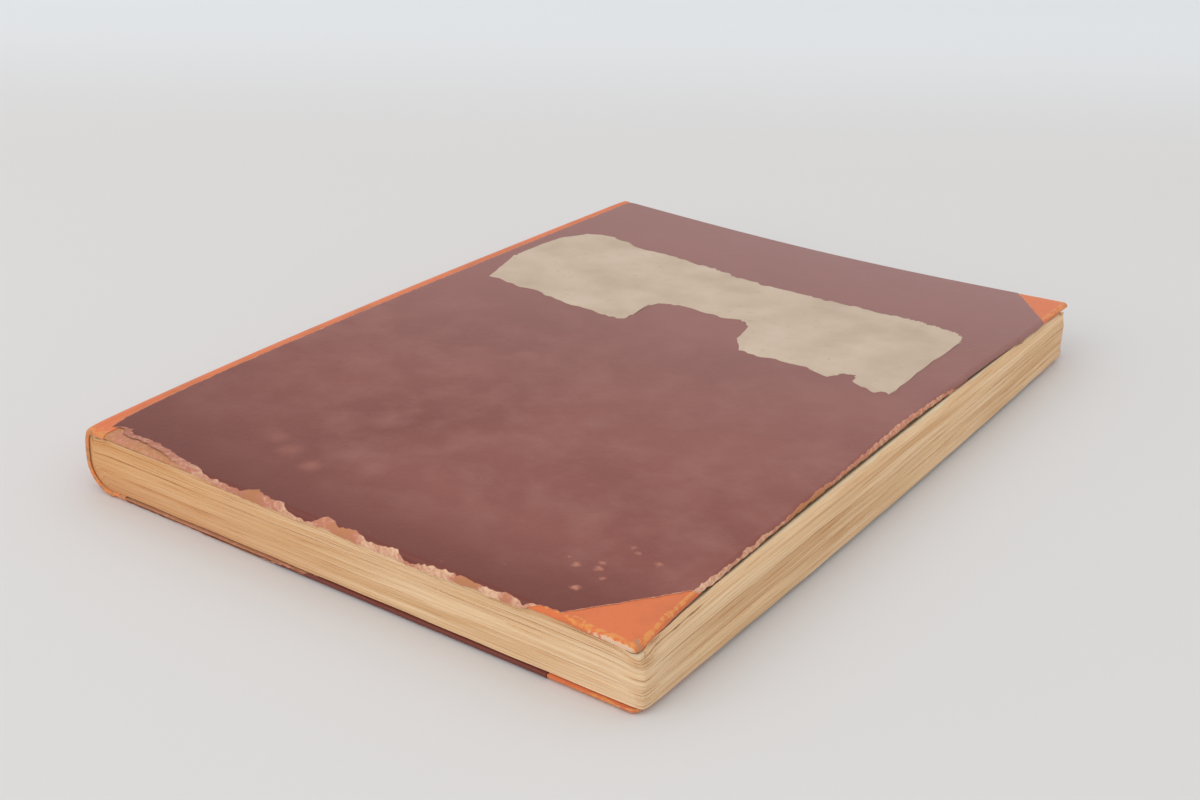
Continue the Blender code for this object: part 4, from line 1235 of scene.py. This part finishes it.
def corner_loops(side, end):
    """Sections of a cloth corner from its inner edge, under the side paper, over the board's edge.

    A section starts on the inner line, bent once at its knee, runs flat to the outline of the
    board's top and then follows the edge profile along the outline's normal. Wear is a band along
    the edge, as wide as the table says.
    """
    s = sizes()
    leg, rise = CORNER_PIECES[side, end]
    torn = (side, end) == ("front", "tail")
    tongue, bend = (TONGUE, TONGUE_BEND_SHARE) if torn else (0.0, PLAIN_BEND_SHARE)
    corner = s.corner_radius - s.edge_round
    right, low = COVER_WIDTH - s.edge_round, s.edge_round
    n = CLOTH_COLUMNS
    rise_share, knee_share = OVERLAP_SHARES
    tail_x = np.linspace(COVER_WIDTH - leg - tongue, right - corner, n["side"])
    turn = np.linspace(0, math.pi / 2, n["corner"])[1:-1]
    fore_y = np.linspace(low + corner, rise + CLOTH_OVERLAP * rise_share, n["side"])
    x = np.concatenate([tail_x, right - corner + corner * np.sin(turn), 0 * fore_y + right])
    y = np.concatenate([0 * tail_x + low, low + corner - corner * np.cos(turn), fore_y])
    nx = np.concatenate([0 * tail_x, np.sin(turn), 0 * fore_y + 1])
    ny = np.concatenate([0 * tail_x - 1, -np.cos(turn), 0 * fore_y])
    base, normal = np.stack([x, y], -1)[:, None], np.stack([nx, ny], -1)[:, None]
    share = np.linspace(0, 1, len(x))
    line = np.array([
        (COVER_WIDTH - leg - tongue, low + CLOTH_FOOT),
        (COVER_WIDTH - leg - CLOTH_OVERLAP * knee_share, low + CLOTH_OVERLAP),
        (right - CLOTH_FOOT, rise + CLOTH_OVERLAP),
    ])
    inner = np.stack([np.interp(share, (0, bend, 1), column) for column in line.T], -1)[:, None]
    flat = inner + (base - inner) * np.array(CLOTH_FLAT_SHARES)[:, None]
    arc = np.linspace(0, s.edge_round * math.pi / 2, n["arc"])
    runs = np.concatenate([arc, np.linspace(*CLOTH_UNDER_RUNS, n["under"])])
    frayed = FRAY * ragged(np.arange(len(x)) * FRAY_PITCH, FRAY_SPACING, 9)
    reach, drop, out, up = edge_profile(runs)
    over = base + normal * (reach + frayed[:, None] * out)[..., None]
    level = 0 * np.array(CLOTH_FLAT_SHARES)
    drop, out = np.append(level, drop)[:, None], np.append(level, out)[:, None]
    up = np.append(level + 1, up)[:, None]
    face = np.concatenate([flat, over], 1)
    faces = []
    for layer in (CLOTH_DEPTH, CLOTH_DEPTH + CLOTH_THICK):
        plan = face - normal * layer * out
        faces.append(np.concatenate([plan, drop + layer * up + 0 * plan[..., :1]], -1))
    loops = shell(*faces)
    if end == "head":
        loops[..., 1] = HEIGHT - loops[..., 1]
    to_edge = -np.linalg.norm(flat - base, axis=-1)
    edge = np.concatenate([to_edge, np.broadcast_to(runs, (len(x), len(runs)))], 1)
    edge = shell(edge, edge)
    lay = np.concatenate([flat, base + normal * runs[:, None]], 1)
    lay = np.concatenate([lay, 0 * lay[..., :1]], -1)
    at, *wear = np.array(NEAR_WEAR if torn else OTHER_WEAR).T
    limit_in, limit_out, chalk, board = (np.interp(share, at, value)[:, None] for value in wear)
    inside = smooth((edge + limit_in * MM) / WORN_EASE + 0.5)
    outside = smooth((limit_out * MM - edge) / WORN_EASE + 0.5)
    chalky = smooth((edge - CHALK_START) / CHALK_RISE) * smooth((CHALK_END - edge) / CHALK_FALL)
    worn = np.stack([WORN_SHARE * inside * outside, chalk * chalky, board * inside], -1)
    return on_cover(side, loops), {"worn": worn, "lay": shell(lay, lay)}


def rolled_end(roll, inner):
    """Distance from the end and depth inwards of the spine cloth's rolled end, on either face.

    Roll goes from 0 at the last plain section to 1 at the end. The outer face makes a quarter round
    and slants down to the leaves. The inner face runs to the roll's back and drops to its foot.
    """
    start = sizes().edge_round
    if inner:
        to_back = np.clip(roll / LIP_BACK_SHARE, 0, 1)
        past = np.clip((roll - LIP_BACK_SHARE) / (1 - LIP_BACK_SHARE), 0, 1)
        return start + (LIP_BACK - start) * to_back, LIP_FOOT * past
    turn = np.clip(roll / LIP_TURN_SHARE, 0, 1) * math.pi / 2
    past = np.clip((roll - LIP_TURN_SHARE) / (1 - LIP_TURN_SHARE), 0, 1)
    return start * (1 - np.sin(turn)) + LIP_SLANT * past, LIP_ROUND * (1 - np.cos(turn)) + LIP_FACE * past


def spine_loops(side):
    """Sections of one half of the spine cloth, from its edge under the side paper to the spine's middle.

    Across: flat on the cover, straight over the joint, then a quarter of the spine's oval. Along: the
    strip on the cover drops over the board's edge, and the spine's end is rolled in.
    """
    s = sizes()
    strip = np.linspace(cover_start(side) + s.joint_strip + CLOTH_OVERLAP, cover_start(side), STRIP_COLUMNS)
    angle = np.linspace(math.pi / 2, 0, OVAL_COLUMNS) * (1 if side == "front" else -1)
    edge_runs = np.linspace(0, s.edge_round * math.pi / 2 + SPINE_EDGE_RUN, SPINE_EDGE_ROWS)[1:]
    reach, drop = edge_profile(edge_runs)[:2]
    inner_y = np.linspace(s.edge_round, HEIGHT - s.edge_round, SPINE_ROWS)
    rolled = np.arange(len(edge_runs), 0, -1) / len(edge_runs)
    y = np.concatenate([(s.edge_round - reach)[::-1], inner_y, HEIGHT - s.edge_round + reach])[:, None]
    fall = np.concatenate([drop[::-1], 0 * inner_y, drop])[:, None]
    roll = np.concatenate([rolled, 0 * inner_y, rolled[::-1]])[:, None]
    tuck = np.clip(fall / s.edge_round, 0, 1)
    low_end = y < HEIGHT / 2
    from_end = np.minimum(y, HEIGHT - y)
    over_joint = np.linspace(0, 1, JOINT_COLUMNS + 2)[1:-1, None]
    faces = []
    for layer in (0.0, 2 * CLOTH_THICK):
        flat_y = y + np.where(low_end, 1, -1) * (CLOTH_DEPTH + layer) * tuck
        depth = CLOTH_DEPTH + layer * np.cos(tuck * math.pi / 2) + fall
        flat = on_cover(side, np.stack([strip + 0 * y, flat_y + 0 * strip, depth + 0 * strip], -1))
        lip_y, lip_depth = rolled_end(roll, layer > 0)
        end_y = np.where(roll > 0, np.where(low_end, lip_y, HEIGHT - lip_y), y)
        inside = layer * (1 + ROLL_SHARE * np.exp(-from_end / ROLL_REACH)) + lip_depth
        oval = round_back(angle + 0 * y, end_y + 0 * angle, inside)
        bridge = flat[:, -1:] + (oval[:, :1] - flat[:, -1:]) * over_joint
        faces.append(np.concatenate([flat, bridge, oval], 1))
    path = np.linalg.norm(np.diff(faces[0][len(y) // 2], axis=0), axis=-1)
    path = np.append(0, np.cumsum(path))
    lay = np.stack([path + 0 * y, y + 0 * path, 0 * path + 0 * y], -1)
    close = np.clip(1 - from_end / END_WEAR_REACH, 0, 1) + 0 * path
    ends = shell(close, close)
    worn = np.stack([END_WORN_SHARE * ends, 0 * ends, END_BARE_SHARE * ends ** 2], -1)
    return shell(*faces), {"worn": worn, "lay": shell(lay, lay)}


# Edges of the label, as shares of its width and length: a point of its tail edge, then one of its head
LABEL_EDGES = (
    (0.000, 0.420, 0.000, 0.500), (0.020, 0.280, 0.000, 0.660), (0.040, 0.120, 0.005, 0.800),
    (0.100, 0.110, 0.034, 0.950), (0.180, 0.085, 0.096, 1.000), (0.260, 0.055, 0.190, 0.940),
    (0.350, 0.045, 0.280, 0.946), (0.400, 0.055, 0.345, 0.930), (0.402, 0.120, 0.360, 0.928),
    (0.396, 0.270, 0.377, 0.923), (0.416, 0.340, 0.410, 0.905), (0.460, 0.370, 0.455, 0.885),
    (0.530, 0.355, 0.520, 0.877), (0.590, 0.370, 0.590, 0.876), (0.620, 0.345, 0.630, 0.875),
    (0.632, 0.180, 0.650, 0.874), (0.668, 0.055, 0.680, 0.874), (0.725, 0.055, 0.725, 0.874),
    (0.800, 0.060, 0.790, 0.873), (0.868, 0.040, 0.850, 0.872), (0.885, 0.100, 0.870, 0.870),
    (0.905, 0.110, 0.890, 0.868), (0.915, 0.055, 0.905, 0.862), (0.967, 0.003, 0.930, 0.855),
    (0.998, 0.020, 0.950, 0.850), (1.000, 0.110, 0.965, 0.840), (0.995, 0.300, 0.978, 0.815),
    (0.997, 0.580, 0.988, 0.785), (0.994, 0.735, 0.992, 0.757),
)

# Label: its place and size, its grid, its torn lines, its thinned rims and its cockles
LABEL_LEFT = 5.0 * MM
LABEL_TAIL = 138.0 * MM
LABEL_WIDTH = 146 * MM
LABEL_LENGTH = 65 * MM
LABEL_COLUMNS = 560
LABEL_ROWS = 40
LABEL_RIM_SHARES = (0, 0.006, 0.016)
LABEL_TAIL_TATTERS = ((0.7 * MM, 3.5 * MM, 11), (0.5 * MM, 1.3 * MM, 12))
LABEL_HEAD_TATTERS = ((0.6 * MM, 3.0 * MM, 13), (0.5 * MM, 1.2 * MM, 14))
LABEL_ALONG_TATTERS = ((0.35 * MM, 1.7 * MM, 17),)
LABEL_END_TATTERS = ((0.5 * MM, 2.2 * MM, 15),)
LABEL_EDGE_SHARE = 1.4
LABEL_EASE_SHARE = 0.05
LABEL_END_SHARE = 0.01
LABEL_THIN_SHARES = (0.006, 0.02)
LABEL_THICK = 0.14 * MM
LABEL_LIFT = 0.04 * MM
LABEL_UNDER = 0.015 * MM
LABEL_COCKLE = 0.06 * MM
LABEL_COCKLE_SLANT = 0.7
LABEL_COCKLE_WAVES = (31 * MM, 17 * MM)


def label_loops():
    """Surface ruled between the torn tail edge and the torn head edge of the label, with frayed rims.

    Both edges are straight runs between the points of the table, shaken by a coarse and a fine torn
    line. The sheet cockles in slow waves and thins out to its rims.
    """
    edges = np.array(LABEL_EDGES)
    u = np.linspace(0, 1, LABEL_COLUMNS)
    size = np.array([LABEL_WIDTH, LABEL_LENGTH])
    start = np.array([LABEL_LEFT, LABEL_TAIL])
    points = np.stack([np.interp(u, np.linspace(0, 1, len(edges)), column) for column in edges.T], -1)
    bottom, top = start + size * points[:, :2], start + size * points[:, 2:]
    run = LABEL_EDGE_SHARE * u * LABEL_WIDTH
    inside = smooth(u / LABEL_EASE_SHARE) * smooth((1 - u) / LABEL_EASE_SHARE)
    bottom[:, 1] += tattered(run, LABEL_TAIL_TATTERS) * inside
    bottom[:, 0] += tattered(run, LABEL_ALONG_TATTERS) * inside
    top[:, 1] += tattered(run, LABEL_HEAD_TATTERS) * inside
    rims = np.array(LABEL_RIM_SHARES)
    inner = np.linspace(LABEL_EASE_SHARE, 1 - LABEL_EASE_SHARE, LABEL_ROWS)
    v = np.concatenate([rims, inner, 1 - rims[::-1]])
    plan = bottom[:, None] + (top - bottom)[:, None] * v[:, None]
    at_ends = np.exp(-u / LABEL_END_SHARE) - np.exp(-(1 - u) / LABEL_END_SHARE)
    plan[..., 0] += at_ends[:, None] * tattered(v * LABEL_LENGTH, LABEL_END_TATTERS)
    end_share, side_share = LABEL_THIN_SHARES
    rim = np.minimum(smooth(v / side_share), smooth((1 - v) / side_share))
    rim = rim * np.minimum(smooth(u / end_share), smooth((1 - u) / end_share))[:, None]
    aslant = plan[..., 0] + LABEL_COCKLE_SLANT * plan[..., 1]
    cockle = LABEL_COCKLE * wander(aslant, LABEL_COCKLE_WAVES, 16)
    upper = -(LABEL_LIFT + (LABEL_THICK + cockle) * rim)[..., None]
    outer = np.concatenate([plan, upper], -1)
    lower = np.concatenate([plan, 0 * upper - LABEL_UNDER], -1)
    return on_cover("front", shell(outer, lower))


# Materials of the frame's own pieces that stay as they are
LININGS = {
    "front_pastedown": "endpaper",
    "back_pastedown": "endpaper",
    "front_mull_flap": "gauze",
    "back_mull_flap": "gauze",
    "spine_mull": "gauze",
    "spine_lining": "lining_paper",
}


class BOOK_OT_leaves(bpy.types.Operator):
    """Makes the sewn leaves: ragged edges, a splayed near corner and a round back"""

    bl_idname = "book.leaves"
    bl_label = "Leaves"

    def execute(self, context):
        loops, lay, rows = leaf_loops()
        stuffs = [stuff("leaves"), stuff("endpaper")]
        made = loft("leaves", loops, stuffs, marks={"lay": lay}, face_rows=rows)
        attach(made, "text_block")
        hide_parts("text_block")
        return {"FINISHED"}


class BOOK_OT_boards(bpy.types.Operator):
    """Makes the two boards, which show where paper and cloth are worn away"""

    bl_idname = "book.boards"
    bl_label = "Boards"

    def execute(self, context):
        for side in ("front", "back"):
            made = loft(side + "_bare_board", board_loops(side), [stuff("grey_board")], sharp=40)
            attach(made, side + "_cover")
            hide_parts(side + "_board")
        return {"FINISHED"}


class BOOK_OT_side_papers(bpy.types.Operator):
    """Makes the maroon side papers: the front one torn at the tail and worn along the fore-edge"""

    bl_idname = "book.side_papers"
    bl_label = "Side papers"

    def execute(self, context):
        for side in ("front", "back"):
            loops, marks = paper_loops(side)
            made = loft(side + "_maroon_paper", loops, [stuff("maroon_paper")], marks=marks)
            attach(made, side + "_cover")
            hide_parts(side + "_side_paper")
        return {"FINISHED"}


class BOOK_OT_corners(bpy.types.Operator):
    """Makes the four cloth corners, wrapped over the boards' edges"""

    bl_idname = "book.corners"
    bl_label = "Cloth corners"

    def execute(self, context):
        for side, end in CORNER_PIECES:
            loops, marks = corner_loops(side, end)
            name = side + "_" + end + "_corner"
            made = loft(name + "_cloth", loops, [stuff("orange_cloth")], "strip", marks)
            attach(made, side + "_cover")
            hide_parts(name)
        return {"FINISHED"}


class BOOK_OT_spine(bpy.types.Operator):
    """Makes the spine cloth in two halves, each bending over its cover's joint"""

    bl_idname = "book.spine"
    bl_label = "Spine cloth"

    def execute(self, context):
        for side in ("front", "back"):
            loops, marks = spine_loops(side)
            made = loft(side + "_spine_cloth", loops, [stuff("orange_cloth")], "strip", marks)
            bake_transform(made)
            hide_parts("spine_cloth", side + "_hinge_cloth")
        return {"FINISHED"}


class BOOK_OT_label(bpy.types.Operator):
    """Makes the torn blank label across the front cover"""

    bl_idname = "book.label"
    bl_label = "Label"

    def execute(self, context):
        made = loft("torn_label", label_loops(), [stuff("label_paper")], "strip")
        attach(made, "front_cover")
        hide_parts("front_label")
        return {"FINISHED"}


class BOOK_OT_linings(bpy.types.Operator):
    """Gives the pastedowns, gauze and spine lining of the frame their papers and gauze"""

    bl_idname = "book.linings"
    bl_label = "Linings"

    def execute(self, context):
        for name, slot in LININGS.items():
            node = frame["nodes"][name]
            node.data.materials.clear()
            node.data.materials.append(stuff(slot))
        return {"FINISHED"}


# Camera and light
LENS = 49.446
CAMERA_PLACE = (0.22962, -0.35334, 0.19504)
CAMERA_AZIMUTH = math.radians(-34.05)
CAMERA_PITCH = math.radians(24.39)
CAMERA_ROLL = math.radians(1.49)
WINDOW_PLACE = (-0.6, -1.7, 1.1)
TABLE_END = 3.5
SWEEP_RADIUS = 0.8
TABLE_HALF_WIDTH = 4.0
BACKDROP_TOP = 2.4
PAINTED_LIGHT_ROWS = (0.2, 0.6)
PAINTED_LIGHT_START = 0.25
PAINTED_LIGHT_RUN = 0.3
ROOM_LIGHT = 0.91
WINDOW_LIGHT = 10
WINDOW_WIDTH = 1.5


def place_camera():
    """Camera that looks down and to the left at the book, with a slight roll."""
    data = bpy.data.cameras.new("camera")
    data.lens = LENS
    camera = bpy.data.objects.new("camera", data)
    forward = np.array([
        math.sin(CAMERA_AZIMUTH) * math.cos(CAMERA_PITCH),
        math.cos(CAMERA_AZIMUTH) * math.cos(CAMERA_PITCH),
        -math.sin(CAMERA_PITCH),
    ])
    level = np.array([math.cos(CAMERA_AZIMUTH), -math.sin(CAMERA_AZIMUTH), 0])
    above = np.cross(level, forward)
    right = math.cos(CAMERA_ROLL) * level + math.sin(CAMERA_ROLL) * above
    up = -math.sin(CAMERA_ROLL) * level + math.cos(CAMERA_ROLL) * above
    turn = Matrix(np.array([right, up, -forward]).T.tolist()).to_4x4()
    camera.matrix_world = Matrix.Translation(CAMERA_PLACE) @ turn
    bpy.context.scene.collection.objects.link(camera)
    bpy.context.scene.camera = camera


def table_material():
    """Matt painted table whose colour pales into the backdrop's: painted light, brighter towards the back.
    """
    made, tree = new_stuff("painted_table")
    c = colours()
    back = add(tree, "Attribute", attribute_name="back")["Fac"]
    colour = add(tree, "Mix", {0: back, 6: tuple(c.table), 7: tuple(c.backdrop)}, data_type="RGBA")[2]
    surface = add(tree, "BsdfPrincipled", {"Base Color": colour, "Roughness": 0.7})
    add(tree, "OutputMaterial", {"Surface": surface["BSDF"]})
    return made


class BOOK_OT_stage(bpy.types.Operator):
    """Makes the pale table with its sweep, the soft light and the camera"""

    bl_idname = "book.stage"
    bl_label = "Stage"

    def execute(self, context):
        scene = context.scene
        turn = np.linspace(0, math.pi / 2, 24)
        sweep = TABLE_END + SWEEP_RADIUS * np.sin(turn)
        level = np.concatenate([[-TABLE_END, -0.5, 0.0], np.linspace(*PAINTED_LIGHT_ROWS, 9)])
        run = np.concatenate([level, sweep, sweep[-1:]])
        rise = np.concatenate([0 * level, SWEEP_RADIUS * (1 - np.cos(turn)), [BACKDROP_TOP]])
        across = np.array([-TABLE_HALF_WIDTH, TABLE_HALF_WIDTH])
        away = np.array([math.sin(CAMERA_AZIMUTH), math.cos(CAMERA_AZIMUTH)])
        aside = np.array([away[1], -away[0]])
        plan = run[:, None, None] * away + across[None, :, None] * aside
        points = np.concatenate([plan, np.broadcast_to(rise[:, None, None], (len(run), 2, 1))], -1)
        index = np.arange(2 * len(run)).reshape(-1, 2)
        faces = np.stack([index[:-1, 0], index[:-1, 1], index[1:, 1], index[1:, 0]], -1)
        mesh = bpy.data.meshes.new("table")
        mesh.from_pydata(points.reshape(-1, 3).tolist(), [], faces.tolist())
        mesh.shade_smooth()
        # Painted light: the table's colour pales towards the backdrop
        back = smooth((run - PAINTED_LIGHT_START) / PAINTED_LIGHT_RUN)
        mesh.attributes.new("back", "FLOAT", "POINT").data.foreach_set("value", np.repeat(back, 2))
        mesh.materials.append(table_material())
        table = bpy.data.objects.new("table", mesh)
        scene.collection.objects.link(table)
        world = bpy.data.worlds.new("soft_room")
        world.use_nodes = True
        room = world.node_tree.nodes["Background"].inputs
        room["Color"].default_value = (1, 1, 1, 1)
        room["Strength"].default_value = ROOM_LIGHT
        scene.world = world
        window = bpy.data.lights.new("window", "AREA")
        window.size = WINDOW_WIDTH
        window.energy = WINDOW_LIGHT
        lamp = bpy.data.objects.new("window", window)
        scene.collection.objects.link(lamp)
        lamp.location = Vector(WINDOW_PLACE)
        lamp.rotation_euler = lamp.location.to_track_quat("Z", "Y").to_euler()
        place_camera()
        scene.view_settings.view_transform = "Standard"
        return {"FINISHED"}


class BOOK_PT_panel(bpy.types.Panel):
    """Sidebar panel that lists the book's pieces, sizes and colours"""

    bl_idname = "BOOK_PT_panel"
    bl_label = "Old half cloth book"
    bl_space_type = "VIEW_3D"
    bl_region_type = "UI"
    bl_category = "Book"

    def draw(self, context):
        for operator in OPERATORS:
            self.layout.operator(operator.bl_idname)
        for group in (context.scene.book_sizes, context.scene.book_colours):
            for name in group.__annotations__:
                self.layout.prop(group, name)


OPERATORS = (
    BOOK_OT_stage, BOOK_OT_leaves, BOOK_OT_boards, BOOK_OT_side_papers, BOOK_OT_corners,
    BOOK_OT_spine, BOOK_OT_label, BOOK_OT_linings,
)
CLASSES = (BookSizes, BookColours, *OPERATORS, BOOK_PT_panel)


def register():
    """Registers the classes and gives the scene its sizes and colours."""
    for made in CLASSES:
        bpy.utils.register_class(made)
    bpy.types.Scene.book_sizes = bpy.props.PointerProperty(type=BookSizes)
    bpy.types.Scene.book_colours = bpy.props.PointerProperty(type=BookColours)


def unregister():
    """Takes the scene's sizes, colours and classes away again."""
    del bpy.types.Scene.book_sizes
    del bpy.types.Scene.book_colours
    for made in reversed(CLASSES):
        bpy.utils.unregister_class(made)


def main():
    """Builds the whole picture."""
    register()
    for operator in OPERATORS:
        group, name = operator.bl_idname.split(".")
        getattr(getattr(bpy.ops, group), name)()


if __name__ == "__main__":
    main()
